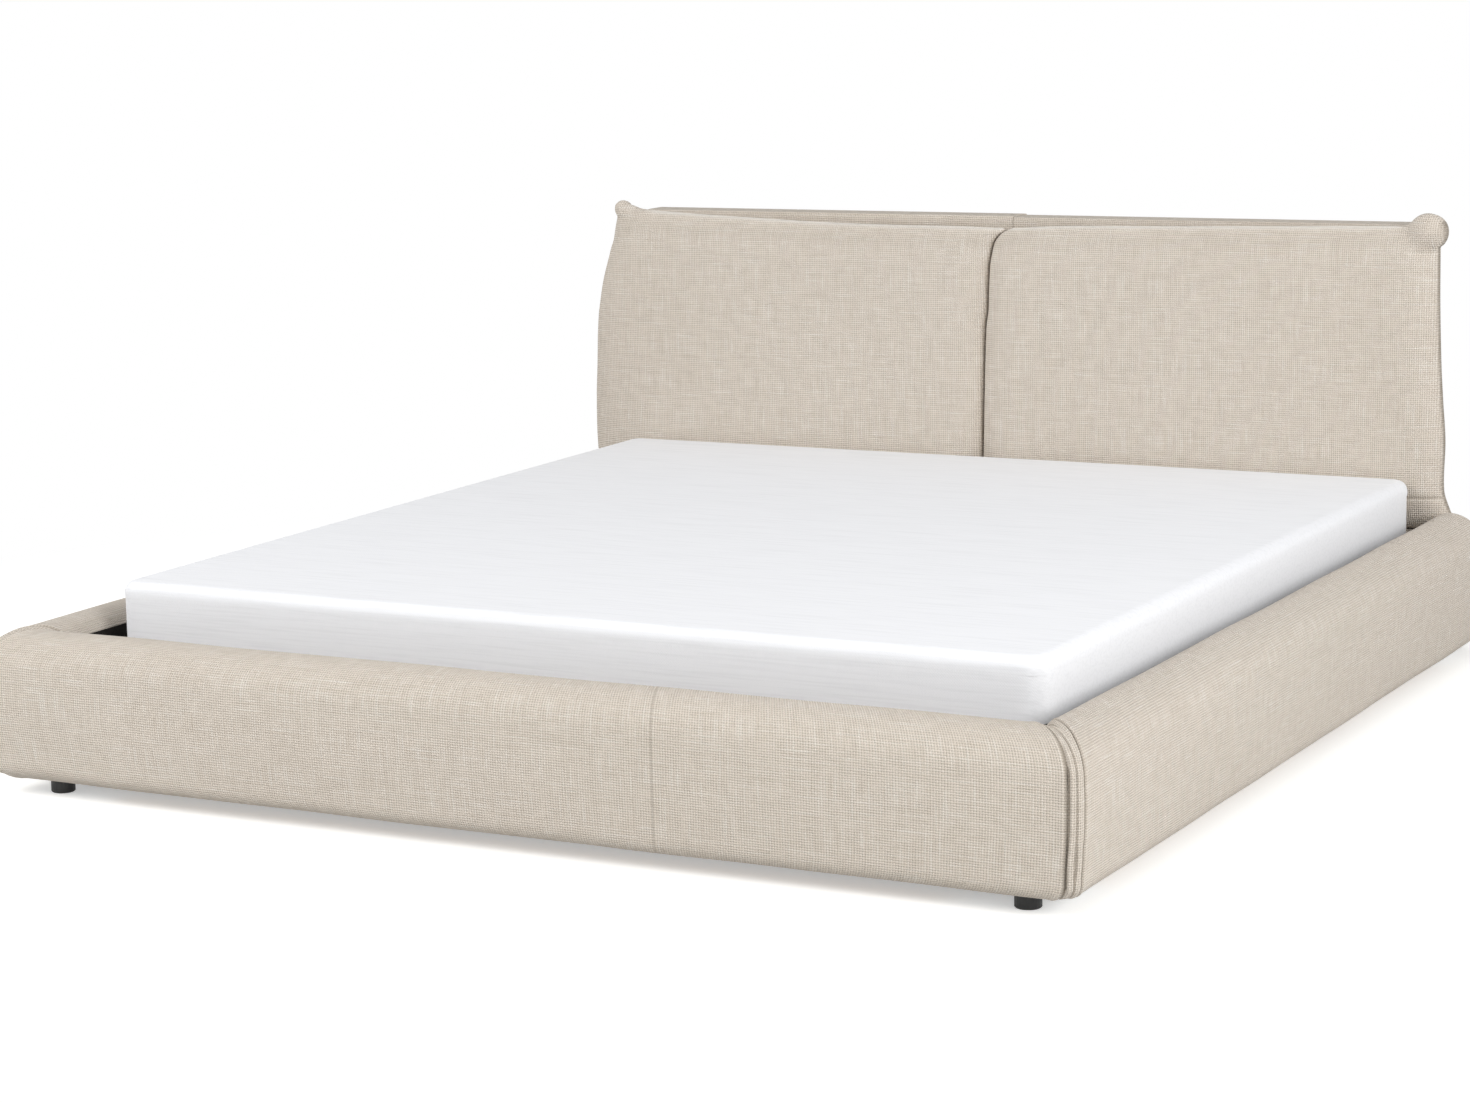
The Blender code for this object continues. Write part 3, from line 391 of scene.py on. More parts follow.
@dataclass(frozen=True)
class BirchPly:
    """Birch plywood: rotary cut faces with broad figure, thin dark glue lines on its edges."""

    body: str = "D9BF93"
    figure: str = "C4A06C"
    glue: str = "7C5B37"
    veneer: float = 0.0036

    def build(self) -> Material:
        """Make the material with figure on its faces and veneers 3.6 mm apart."""
        recipe = Recipe("birch_plywood")
        add = recipe.add
        place = add("TexCoord", take="Object")
        run = add("Mapping", {"Vector": place, "Scale": (1 / 0.30, 1 / 0.025, 1 / 0.025)})
        figure = add("TexNoise", {"Vector": run, "Scale": 1.0, "Detail": 5.0, "Distortion": 1.2})
        level = add("Math", {0: add("SeparateXYZ", {0: place}, "Z"),
                             1: 2 * math.pi / self.veneer}, operation="MULTIPLY")
        layer = add("Math", {0: level}, operation="SINE")
        steep = add("Math", {0: add("SeparateXYZ", {0: add("NewGeometry", take="Normal")}, "Z")},
                    operation="ABSOLUTE")
        upright = add("MapRange", {"Value": steep, "From Min": 0.3, "From Max": 0.6,
                                   "To Min": 1.0, "To Max": 0.0})
        line = add("MapRange", {"Value": layer, "From Min": 0.8, "From Max": 1.0, "To Max": 0.6})
        edge = add("Math", {0: upright, 1: line}, operation="MULTIPLY")
        colour = recipe.stained(self.body, (self.figure, figure, 0.4, 0.65, 1.0),
                                (self.glue, edge, 0.0, 1.0, 1.0))
        return recipe.finish(colour, figure, (0.25, 0.0004), 0.66)


@dataclass(frozen=True)
class ZincSteel:
    """Zinc plated steel: grey metal with a faint spangle and rubbed patches."""

    body: str = "B9BBBB"
    dull: str = "8E9090"

    def build(self) -> Material:
        """Make the material with a spangle 4 mm across."""
        recipe = Recipe("zinc_plated_steel")
        add = recipe.add
        place = add("TexCoord", take="Object")
        spangle = add("TexVoronoi", {"Vector": place, "Scale": 1 / 0.004}, "Color")
        rubbed = add("TexNoise", {"Vector": place, "Scale": 1 / 0.01, "Detail": 3.0})
        gloss = add("MapRange", {"Value": rubbed, "From Min": 0.3, "From Max": 0.7,
                                 "To Min": 0.3, "To Max": 0.5})
        colour = recipe.stained(self.body, (self.dull, spangle, 0.1, 0.9, 0.6))
        return recipe.finish(colour, rubbed, (0.15, 0.0002), gloss, {"Metallic": 1.0})


class Slot(Enum):
    """The record's material slots."""

    UPHOLSTERY = "upholstery_cloth"
    COVER = "cover_cloth"
    BASE = "base_cloth"
    HOOK = "hook_cloth"
    PINE = "pine"
    PLYWOOD = "plywood"
    BLACK = "black_plastic"
    STEEL = "zinc_steel"
    FOAM = "foam"
    HEATER = "heater_vinyl"
    LINER = "liner_vinyl"
    WATER = "water_vinyl"
    WHITE = "white_plastic"


class Finishes:
    """Every finish of the bed, by the slot it belongs to."""

    def __init__(self) -> None:
        """Build each material once."""
        self.by_slot: dict[Slot, Material] = {slot: finish.build() for slot, finish in (
            (Slot.UPHOLSTERY, WovenUpholstery()),
            (Slot.COVER, CoverKnit("knitted_mattress_cover", "EDEEF1", "E0E1E4")),
            (Slot.BASE, CoverKnit("knitted_cover_base", "D6D4CE", "C3C0B8")),
            (Slot.HOOK, FeltCloth("hook_tape", "3A3835", "5A5751", 0.0018, 0.0006)),
            (Slot.PINE, SawnPine("planed_pine", Grain.ALONG_Y)),
            (Slot.PLYWOOD, BirchPly()),
            (Slot.BLACK, Moulded("moulded_black_plastic", "161616", "2A2A29")),
            (Slot.STEEL, ZincSteel()),
            (Slot.FOAM, OpenFoam()),
            (Slot.HEATER, SoftVinyl("heater_vinyl_film", "22252B", "2E323A", 0.34)),
            (Slot.LINER, SoftVinyl("liner_vinyl_film", "3C6FA8", "2F5C90", 0.30)),
            (Slot.WATER, SoftVinyl("water_bag_vinyl", "4B87BD", "3A73A8", 0.22)),
            (Slot.WHITE, Moulded("moulded_white_plastic", "E8E8E4", "DAD9D3", 0.4)))}
        self.lining = FeltCloth("black_dust_lining", "1A1918", "2B2927").build()
        self.cross_pine = SawnPine("planed_pine_crosswise", Grain.ALONG_X).build()

    def of(self, slot: Slot) -> Material:
        """The material of a slot."""
        return self.by_slot[slot]


# Shaping helpers

def mapped_grid(columns: int, rows: int, place: Callable[[int, int], Sequence[float]],
                weave: Callable[[int, int], Pair],
                painted_shading_at: Callable[[int, int], float] | None = None) -> Shape:
    """Lay a grid of cloth over a shape.

    Args:
        columns: Cells across.
        rows: Cells along.
        place: Gives a point for a column and a row.
        weave: Gives the cloth's own place in metres for a column and a row.
        painted_shading_at: Gives the painted shade at a column and a row, from 0 to 1, or
        less than 0 for a painted highlight.

    Returns:
        The laid grid with its weave map.
    """
    shape = bmesh.new()
    layer = shape.loops.layers.uv.new(WEAVE)
    painted_shading = shape.verts.layers.float.new(PAINTED_SHADING_LAYER)
    bmesh.ops.create_grid(shape, x_segments=columns, y_segments=rows, size=0.5)
    cells = {vert: (round((vert.co.x + 0.5) * columns), round((vert.co.y + 0.5) * rows))
             for vert in shape.verts}
    for face in shape.faces:
        for loop in face.loops:
            loop[layer].uv = weave(*cells[loop.vert])
    for vert, cell in cells.items():
        vert.co = place(*cell)
        vert[painted_shading] = painted_shading_at(*cell) if painted_shading_at else 0.0
    return shape


def close_up(shape: Shape, ends: bool = True) -> Shape:
    """Merge a shape's doubles, close its ends and turn its faces outwards."""
    bmesh.ops.remove_doubles(shape, verts=shape.verts, dist=1e-6)
    if ends:
        border = [edge for edge in shape.edges if edge.is_boundary]
        filled = bmesh.ops.holes_fill(shape, edges=border, sides=0)
        bmesh.ops.triangulate(shape, faces=filled["faces"], ngon_method="EAR_CLIP")
    bmesh.ops.recalc_face_normals(shape, faces=shape.faces)
    return shape


def thicken(sheet: Shape, wall: float) -> Shape:
    """Give a sheet its thickness, with faces that point outwards."""
    bmesh.ops.recalc_face_normals(sheet, faces=sheet.faces)
    bmesh.ops.solidify(sheet, geom=sheet.faces, thickness=wall)
    bmesh.ops.recalc_face_normals(sheet, faces=sheet.faces)
    return sheet


def face_along(sheet: Shape, measure: Callable[[bmesh.types.BMFace], float]) -> None:
    """Turn a sheet's faces to the side on which a measure summed over them is not below 0."""
    bmesh.ops.recalc_face_normals(sheet, faces=sheet.faces)
    if sum(measure(face) for face in sheet.faces) < 0:
        bmesh.ops.reverse_faces(sheet, faces=sheet.faces)


def fill_floor(shape: Shape, height: float) -> None:
    """Close the open rim that lies at a height."""
    rim = [edge for edge in shape.edges
           if edge.is_boundary and all(abs(v.co.z - height) < 1e-6 for v in edge.verts)]
    bmesh.ops.holes_fill(shape, edges=rim, sides=0)


def add_box(shape: Shape, size: Place, middle: Place) -> list[bmesh.types.BMVert]:
    """Add a plain box to a shape and give back its corners."""
    corners = bmesh.ops.create_cube(shape, size=1.0)["verts"]
    bmesh.ops.scale(shape, vec=size, verts=corners)
    bmesh.ops.translate(shape, vec=middle, verts=corners)
    return corners


def round_edges(shape: Shape, edges: Iterable[bmesh.types.BMEdge], radius: float,
                segments: int) -> None:
    """Round some edges of a shape."""
    bmesh.ops.bevel(shape, geom=list(edges), offset=radius, segments=segments, profile=0.5,
                    affect="EDGES", material=-1)


def box_weave(shape: Shape) -> None:
    """Lay the weave map on a shape from the side that each face looks to."""
    layer = shape.loops.layers.uv.get(WEAVE) or shape.loops.layers.uv.new(WEAVE)
    for face in shape.faces:
        steep = [abs(part) for part in face.normal]
        across, up = ((1, 2), (0, 2), (0, 1))[steep.index(max(steep))]
        for loop in face.loops:
            loop[layer].uv = (loop.vert.co[across], loop.vert.co[up])


def add_object(name: str, data: bpy.types.ID) -> bpy.types.Object:
    """Put an object with this data in the scene."""
    thing = bpy.data.objects.new(name, data)
    bpy.context.scene.collection.objects.link(thing)
    return thing


def add_shape(name: str, shape: Shape) -> bpy.types.Object:
    """Put a shape in the scene as an object, and use the shape up."""
    mesh = bpy.data.meshes.new(name)
    shape.to_mesh(mesh)
    shape.free()
    return add_object(name, mesh)


def make_piece(name: str, shape: Shape, material: Material, slot: Slot, body: str = "bed",
               stands_for: str = "", crease: float = 0.7) -> bpy.types.Object:
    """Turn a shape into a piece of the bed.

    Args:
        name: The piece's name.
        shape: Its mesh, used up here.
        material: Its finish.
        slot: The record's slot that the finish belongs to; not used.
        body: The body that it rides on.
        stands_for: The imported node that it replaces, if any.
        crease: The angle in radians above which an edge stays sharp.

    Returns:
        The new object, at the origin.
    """
    for face in shape.faces:
        face.smooth = True
    for edge in shape.edges:
        edge.smooth = len(edge.link_faces) == 2 and edge.calc_face_angle(0.0) < crease
    piece = add_shape(name, shape)
    piece.data.materials.append(material)
    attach(piece, body)
    if stands_for:
        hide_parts(stands_for)
    LOG.info("%s: %d faces on %s", name, len(piece.data.polygons), body)
    return piece


def arc(centre: Pair, radius: float, start: float, end: float, steps: int = 12) -> list[Pair]:
    """Points of an arc in a plane, both ends included, from and to an angle in degrees."""
    turns = [math.radians(start + (end - start) * k / steps) for k in range(steps + 1)]
    return [(centre[0] + radius * math.cos(a), centre[1] + radius * math.sin(a)) for a in turns]


def run_lengths(points: Sequence[Sequence[float]]) -> list[float]:
    """The length run along a line up to each of its points."""
    lengths = [0.0]
    for near, far in zip(points, points[1:]):
        lengths.append(lengths[-1] + math.dist(near, far))
    return lengths


def spaced(points: Line, spacing: float) -> list[Pair]:
    """The same line with its points evenly spaced."""
    lengths = run_lengths(points)
    count = max(2, round(lengths[-1] / spacing))
    result = []
    for k in range(count + 1):
        at = lengths[-1] * k / count
        i = min(bisect_right(lengths, at) - 1, len(points) - 2)
        share = (at - lengths[i]) / max(lengths[i + 1] - lengths[i], 1e-12)
        result.append(tuple(a + (b - a) * share for a, b in zip(points[i], points[i + 1])))
    return result


def stations(length: float, pitch: float, marks: Iterable[float]) -> list[float]:
    """Places along a length, evenly spaced and closer together round some marks."""
    count = math.ceil(length / pitch)
    places = {round(k * length / count, 5) for k in range(count + 1)}
    for mark in marks:
        for step in (0, 0.001, 0.002, 0.0035, 0.0055, 0.008, 0.012, 0.017, 0.023, 0.030, 0.038):
            places |= {round(at, 5) for at in (mark - step, mark + step) if 0 <= at <= length}
    ordered = sorted(places)
    kept = [ordered[0]]
    for at in ordered[1:-1]:
        if at - kept[-1] > 0.0007:
            kept.append(at)
    return kept + [ordered[-1]]


def ease(value: float) -> float:
    """A smooth step from 0 to 1."""
    value = min(max(value, 0.0), 1.0)
    return value * value * (3 - 2 * value)


def bell(off: float, width: float) -> float:
    """A smooth hump of height 1 that is gone some widths away from its middle."""
    return math.exp(-(off / width) ** 2)


def wobble(*place: float) -> float:
    """Slow smooth noise at a place, between -1 and 1."""
    return noise.noise(Vector(place))


def read_off(table: Line, at: float) -> float:
    """The value of a smooth curve through pairs of place and value, in rising order of place."""
    if at <= table[0][0]:
        return table[0][1]
    if at >= table[-1][0]:
        return table[-1][1]
    i = bisect_right([pair[0] for pair in table], at) - 1
    span = table[i + 1][0] - table[i][0]
    share = (at - table[i][0]) / span

    def slope(k: int) -> float:
        """The curve's slope at a pair, from its neighbours."""
        low, high = max(k - 1, 0), min(k + 1, len(table) - 1)
        return (table[high][1] - table[low][1]) / (table[high][0] - table[low][0])

    a, b = table[i][1], table[i + 1][1]
    square, cube = share ** 2, share ** 3
    return ((2 * cube - 3 * square + 1) * a + (cube - 2 * square + share) * span * slope(i)
            + (3 * square - 2 * cube) * b + (cube - square) * span * slope(i + 1))


def quarter_rise(distance: float, radius: float) -> float:
    """How far a stuffed surface has risen at a distance in from its seam, from 0 to 1."""
    reach = min(distance / radius, 1.0)
    return math.sqrt(max(1 - (1 - reach) ** 2, 0.0))


def rounded_rectangle(half_x: float, low_y: float, high_y: float, radius: float) -> list[Pair]:
    """Points round a rectangle with round corners, closed by repeating the first."""
    points: list[Pair] = []
    for x, y, start in ((half_x, high_y, 0), (-half_x, high_y, 90), (-half_x, low_y, 180),
                        (half_x, low_y, 270)):
        centre = (x - math.copysign(radius, x), y - radius if y == high_y else y + radius)
        points += arc(centre, radius, start, start + 90, 10)
    return points + [points[0]]


def remeshed_copy(node: str, voxel: float, passes: int) -> Shape:
    """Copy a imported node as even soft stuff.

    Args:
        node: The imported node.
        voxel: Size of the even cells.
        passes: How often its edges are eased.

    Returns:
        The eased mesh with its weave map.
    """
    shape = bmesh.new()
    shape.from_mesh(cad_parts[node].data)
    bmesh.ops.remove_doubles(shape, verts=shape.verts, dist=1e-6)
    stuff = add_shape(node + "_stuff", shape)
    cells = stuff.modifiers.new("cells", "REMESH")
    cells.mode, cells.voxel_size = "VOXEL", voxel
    easing = stuff.modifiers.new("easing", "SMOOTH")
    easing.factor, easing.iterations = 0.5, passes
    even = bpy.data.meshes.new_from_object(
        stuff.evaluated_get(bpy.context.evaluated_depsgraph_get()))
    bpy.data.objects.remove(stuff)
    result = bmesh.new()
    result.from_mesh(even)
    bpy.data.meshes.remove(even)
    bmesh.ops.recalc_face_normals(result, faces=result.faces)
    box_weave(result)
    return result


def ruffle(shape: Shape, height: float, size: float) -> Shape:
    """Move a soft surface in and out by a slow, uneven amount."""
    shape.normal_update()
    for vert in shape.verts:
        vert.co += vert.normal * height * noise.noise(vert.co / size)
    return shape


# Frame of rails with its upholstery

@dataclass
class RailSection:
    """Section of a rail's cover: distance out from its inner face, and height."""

    width: float = 0.108
    outer_round: float = 0.0659
    inner_round: float = 0.040
    bottom_round: float = 0.034
    lining_round: float = 0.006
    tuck: float = 0.008
    barrel: float = 0.003
    slot: Pair = (0.010, 0.055)
    spacing: float = 0.0075

    def skin(self) -> list[Pair]:
        """The outer line, from the slot's outer lip round to its inner lip."""
        bottom = UNDERSIDE + self.bottom_round
        crest = RAIL_TOP - self.outer_round
        points = [(self.slot[1] + SEAT, UNDERSIDE)]
        points += arc((self.width - self.tuck - self.bottom_round, bottom), self.bottom_round,
                      -90, 0)
        for share in (k / 16 for k in range(1, 16)):
            out = self.width - self.tuck * (1 - share) + self.barrel * math.sin(math.pi * share)
            points.append((out, bottom + (crest - bottom) * share))
        points += arc((self.width - self.outer_round, crest), self.outer_round, 0, 90, 16)
        points += arc((self.inner_round, RAIL_TOP - self.inner_round), self.inner_round, 90, 180)
        points += arc((self.lining_round, UNDERSIDE + self.lining_round), self.lining_round,
                      180, 270, 4)
        points.append((self.slot[0] - SEAT, UNDERSIDE))
        return spaced(points, self.spacing)

    def groove(self) -> list[Pair]:
        """The slot round the timber, from its inner lip back to its outer lip."""
        inner, outer, top = self.slot[0] - SEAT, self.slot[1] + SEAT, TIMBER_TOP + SEAT
        middle = (UNDERSIDE + top) / 2
        return [(inner, middle), (inner, top), (outer, top), (outer, middle)]


@dataclass
class Rail:
    """One upholstered rail: a padded cover with a slot for its timber."""

    word: str
    length: float
    locate: Callable[[float, float, float], Place]
    mitres: tuple[bool, bool]
    seams: tuple[float, ...] = ()
    section: RailSection = field(default_factory=RailSection)
    mitre_round: float = 0.016
    end_round: float = 0.018
    seam_depth: float = 0.0016
    seam_width: float = 0.0025
    pucker: float = 0.0014
    pucker_pitch: float = 0.027
    sag: float = 0.0016
    hem_gap: float = 0.0118
    hem_depth: float = 0.0026
    hem_ridge: float = 0.0012
    lining_margin: float = 0.004
    lining_wall: float = 0.0012

    def relief(self, at: float, around: float, gaps: Sequence[float]) -> float:
        """How far the cloth stands in or out at a place along and round the rail.

        Args:
            at: Distance along the rail.
            around: Distance round its section.
            gaps: Distances to the two ends.

        Returns:
            The move along the outward direction.
        """
        move = self.sag * wobble(at / 0.22, around / 0.13, self.length)
        for end, gap in enumerate(gaps):
            radius = self.mitre_round if self.mitres[end] else self.end_round
            if gap < radius:
                move -= (radius - math.sqrt(max(radius ** 2 - (radius - gap) ** 2, 0.0)))
            fold = wobble(around / self.pucker_pitch, gap / 0.09, end * 9.1)
            move += self.pucker * fold * math.exp(-gap / 0.035) * (1 - math.exp(-gap / 0.004))
            if self.mitres[end]:
                move -= self.hem_depth * bell(gap - self.hem_gap, 0.0017)
                move += self.hem_ridge * bell(gap - self.hem_gap - 0.006, 0.004)
        for seam in self.seams:
            off = at - seam
            move -= self.seam_depth * bell(off, self.seam_width)
            fold = wobble(around / self.pucker_pitch, off / 0.08, 4.7)
            move += 0.6 * self.pucker * fold * math.exp(-abs(off) / 0.03)
        return move

    def cover(self) -> Shape:
        """The padded cover as a closed shape, cut at 45 degrees at its mitred ends."""
        skin, groove = self.section.skin(), self.section.groove()
        section = skin + groove + [skin[0]]
        around = run_lengths(section)
        close = [0.009 + 0.0012 * k for k in range(20)]
        along = sorted({round(at, 6) for at in (
            *stations(self.length, 0.016, (0.0, self.length, *self.seams)), *close,
            *(self.length - at for at in close))})
        normals: list[Pair] = []
        for k in range(len(skin)):
            low, high = skin[max(k - 1, 0)], skin[min(k + 1, len(skin) - 1)]
            run = math.dist(low, high)
            normals.append(((high[1] - low[1]) / run, (low[0] - high[0]) / run))
        normals[0] = normals[-1] = (0.0, 0.0)
        normals += [(0.0, 0.0)] * (len(groove) + 1)

        def place(column: int, row: int) -> Place:
            """A point of the cover, moved in or out by its relief."""
            out, z = section[column]
            past = [out - SEAT if mitre else -SEAT for mitre in self.mitres]
            at = -past[0] + (self.length + past[0] + past[1]) * along[row] / self.length
            gaps = (at + past[0], self.length + past[1] - at)
            move = self.relief(at, around[column], [
                gap * math.sqrt(0.5) if mitre else gap for gap, mitre in zip(gaps, self.mitres)])
            across, up = normals[column]
            return self.locate(at, out + across * move, z + up * move)

        def painted_shading_at(column: int, row: int) -> float:
            """The painted shade in this row, in the creases of seams, hems and the mitred corner.
            """
            # Painted shade in the creases of the seam, the hems and the mitred corner
            at = along[row]
            marks = [0.5 * bell(at - seam, 0.0014) for seam in self.seams]
            for gap, mitre in zip((at, self.length - at), self.mitres):
                if mitre:
                    gap *= math.sqrt(0.5)
                    marks += [0.85 * bell(gap - self.hem_gap, 0.0014), bell(gap, 0.005)]
            return max(marks, default=0.0)

        return close_up(mapped_grid(len(section) - 1, len(along) - 1, place,
                                    lambda c, r: (along[r], around[c]), painted_shading_at))

    def lining(self, low: float, high: float) -> Shape:
        """The black lining on the rail's inner face, as a thin closed sheet."""
        heights = [low + (high - low) * k / 8 for k in range(9)]
        along = stations(self.length, 0.05, ())

        def place(column: int, row: int) -> Place:
            """A point of the lining, just off the cover."""
            wave = 0.0006 * wobble(along[row] / 0.07, heights[column] / 0.05, 2.2)
            run = self.length - 2 * self.lining_margin
            at = self.lining_margin + run * along[row] / self.length
            return self.locate(at, -0.0022 + wave, heights[column])

        return thicken(mapped_grid(8, len(along) - 1, place,
                                   lambda c, r: (along[r], heights[c])), self.lining_wall)


@dataclass
class UpholsteredFrame:
    """Three upholstered rails, their corner welts and linings, and the beam at the head."""

    finishes: Finishes
    lining_top: float = 0.267
    lining_lift: float = 0.008
    foot_seam_x: float = 0.2885
    side_hem_gap: float = 0.018
    piping_radius: float = 0.0047
    piping_depth: float = 0.0092
    slit: float = 0.0016
    slit_height: float = 0.100
    beam_back: float = 1.10805
    beam_end: Pair = (0.9118, 0.9992)

    def rails(self) -> list[Rail]:
        """The foot rail and both side rails."""
        return [Rail("foot", 2 * RAIL_INNER_X,
                     lambda at, out, z: (at - RAIL_INNER_X, RAIL_INNER_Y - out, z), (True, True),
                     (RAIL_INNER_X + self.foot_seam_x,))] + [
            Rail(word, BEAM_FRONT_Y - RAIL_INNER_Y,
                 lambda at, out, z, s=side: (s * (RAIL_INNER_X + out), RAIL_INNER_Y + at, z),
                 (True, False), hem_gap=self.side_hem_gap) for word, side in SIDES]

    def piping(self, side: int, lean: int) -> Shape:
        """One of the two rolled hems that meet at a front corner.

        Args:
            side: -1 for the left corner, 1 for the right one.
            lean: -1 for the hem on the foot rail, 1 for the one on the side rail.

        Returns:
            The closed roll, from under the rail round to its inner face.
        """
        skin = RailSection(spacing=0.005).skin()
        diagonal = Vector((side, -1.0, 0.0)).normalized()
        across = Vector((side, 1.0, 0.0)).normalized() * lean
        line = [(side * (RAIL_INNER_X + out), RAIL_INNER_Y - out, z) for out, z in skin]
        lengths = run_lengths(line)
        steps = 14

        def place(column: int, row: int) -> Vector:
            """A point round the roll, which opens into a slit low down."""
            low, high = skin[max(row - 1, 0)], skin[min(row + 1, len(skin) - 1)]
            length = math.dist(low, high)
            normal = (diagonal * ((high[1] - low[1]) / length)
                      + Vector((0.0, 0.0, (low[0] - high[0]) / length)))
            open_by = self.slit * bell(line[row][2] - self.slit_height, 0.030)
            if skin[row][0] < 0.05:
                open_by = 0.0
            radius = self.piping_radius * (1 + 0.07 * wobble(lengths[row] / 0.016, side * 3.0,
                                                             lean * 5.0))
            turn = 2 * math.pi * column / steps
            centre = (Vector(line[row]) - normal * self.piping_depth
                      + across * (self.piping_radius + open_by))
            return centre + across * math.cos(turn) * radius + normal * math.sin(turn) * radius

        # The half of the roll that turns into the crease gets painted shade
        return close_up(mapped_grid(
            steps, len(skin) - 1, place,
            lambda c, r: (c / steps * 2 * math.pi * self.piping_radius, lengths[r]),
            lambda c, r: ease((0.35 - math.sin(2 * math.pi * c / steps)) / 0.8)))

    def beam_lining(self, side: int) -> Shape:
        """The black lining stapled to the beam's back beside the headboard."""
        near, far = (side * end for end in self.beam_end)
        low, high = UNDERSIDE + 0.002, TIMBER_TOP - 0.0205

        def place(column: int, row: int) -> Place:
            """A point of the lining, slightly uneven."""
            x, z = near + (far - near) * column / 14, low + (high - low) * row / 28
            return x, self.beam_back + 0.0004 * wobble(x / 0.04, z / 0.04, 1.4), z

        return thicken(mapped_grid(14, 28, place, lambda c, r: (c * 0.006, r * 0.007)), 0.0010)

    def build(self) -> None:
        """Make and dress every piece of the frame's upholstery."""
        cloth, lining = self.finishes.of(Slot.UPHOLSTERY), self.finishes.lining
        low = UNDERSIDE + self.lining_lift
        for rail in self.rails():
            cover = make_piece(f"{rail.word}_rail_cover", rail.cover(), cloth, Slot.UPHOLSTERY,
                               stands_for=f"{rail.word}_rail_sleeve")
            inside = make_piece(f"{rail.word}_rail_lining", rail.lining(low, self.lining_top),
                                lining, Slot.UPHOLSTERY)
        for word, side in SIDES:
            for hem, lean in (("foot", -1), ("side", 1)):
                make_piece(f"{word}_corner_{hem}_piping", self.piping(side, lean), cloth,
                           Slot.UPHOLSTERY)
        beam = ruffle(remeshed_copy("head_beam_sleeve", 0.008, 3), 0.0008, 0.09)
        make_piece("head_beam_cover", beam, cloth, Slot.UPHOLSTERY,
                   stands_for="head_beam_sleeve")
        for word, side in SIDES:
            cap = make_piece(f"{word}_beam_rear_lining", self.beam_lining(side), lining,
                             Slot.UPHOLSTERY)


# Headboard and its hung cushions

@dataclass
class Ear:
    """The stuffed knob at a cushion's outer top corner."""

    side: int
    corner: Pair
    centre: Place
    radius: float
    inset: Pair
    melt: float
    crease_z: float
    gathers: int = 15
    gather_depth: float = 0.0011
    crease_depth: float = 0.0045

    def spread(self, x: float, z: float) -> Pair:
        """Widen the cushion's plain corner to the knob's round outline."""
        start = (self.corner[0] - self.side * self.inset[0], self.corner[1] - self.inset[1])
        across, up = self.side * (x - start[0]), z - start[1]
        reach = math.hypot(across, up)
        if reach < 1e-6 or reach > 0.4:
            return x, z
        cosine, sine = across / reach, up / reach
        plain = min(self.inset[0] / cosine if cosine > 1e-3 else 9.0,
                    self.inset[1] / sine if sine > 1e-3 else 9.0)
        if plain > 0.3:
            return x, z
        off = (self.side * (self.centre[0] - start[0]), self.centre[2] - start[1])
        ahead = max(0.0, off[0] * cosine + off[1] * sine)
        aside = off[0] * sine - off[1] * cosine
        knob = ahead + math.sqrt(max(0.0, self.radius ** 2 - aside ** 2)) * min(1, ahead / 0.01)
        blend = 0.003 + self.melt * ease(0.75 - cosine)
        wanted = (plain + knob + math.sqrt((plain - knob) ** 2 + blend ** 2)) / 2
        factor = 1 + (wanted / plain - 1) * min(reach / plain, 1.0) ** 2
        return start[0] + self.side * across * factor, start[1] + up * factor

    def bulge(self, x: float, z: float) -> float:
        """How far the knob stands out from its middle plane at a place, or less than 0 off it."""
        reach = math.hypot(x - self.centre[0], z - self.centre[2]) / self.radius
        return self.radius * math.sqrt(1 - reach ** 2) if reach < 1 else -0.03 * (reach ** 2 - 1)

    def front(self, x: float, y: float, z: float) -> float:
        """The front face's depth where the knob stands out of it."""
        across, up = self.side * (x - self.centre[0]), z - self.centre[2]
        # Up and inwards the knob melts into the cushion, without gathers
        inward = ease(0.5 + (0.6 * up - 0.8 * across + 0.010) / 0.040)
        knob, blend = self.centre[1] - self.bulge(x, z), 0.005 + 1.1 * self.melt * inward
        share = min(1.0, max(0.0, 0.5 + 0.5 * (y - knob) / blend))
        turn = math.atan2(up, across)
        gathers = self.gather_depth * math.cos(self.gathers * turn + 2 * math.sin(3 * turn))
        gathers *= max(0.0, 1 - self.bulge(x, z) / 0.04) * (1 - inward)
        crease = self.crease_depth * bell(z - self.crease_z, 0.0035)
        crease *= ease(1.3 - abs(across + 0.004) / 0.035)
        return (y + (knob - y) * share - blend * share * (1 - share) + gathers * share
                + crease * (1 - share))


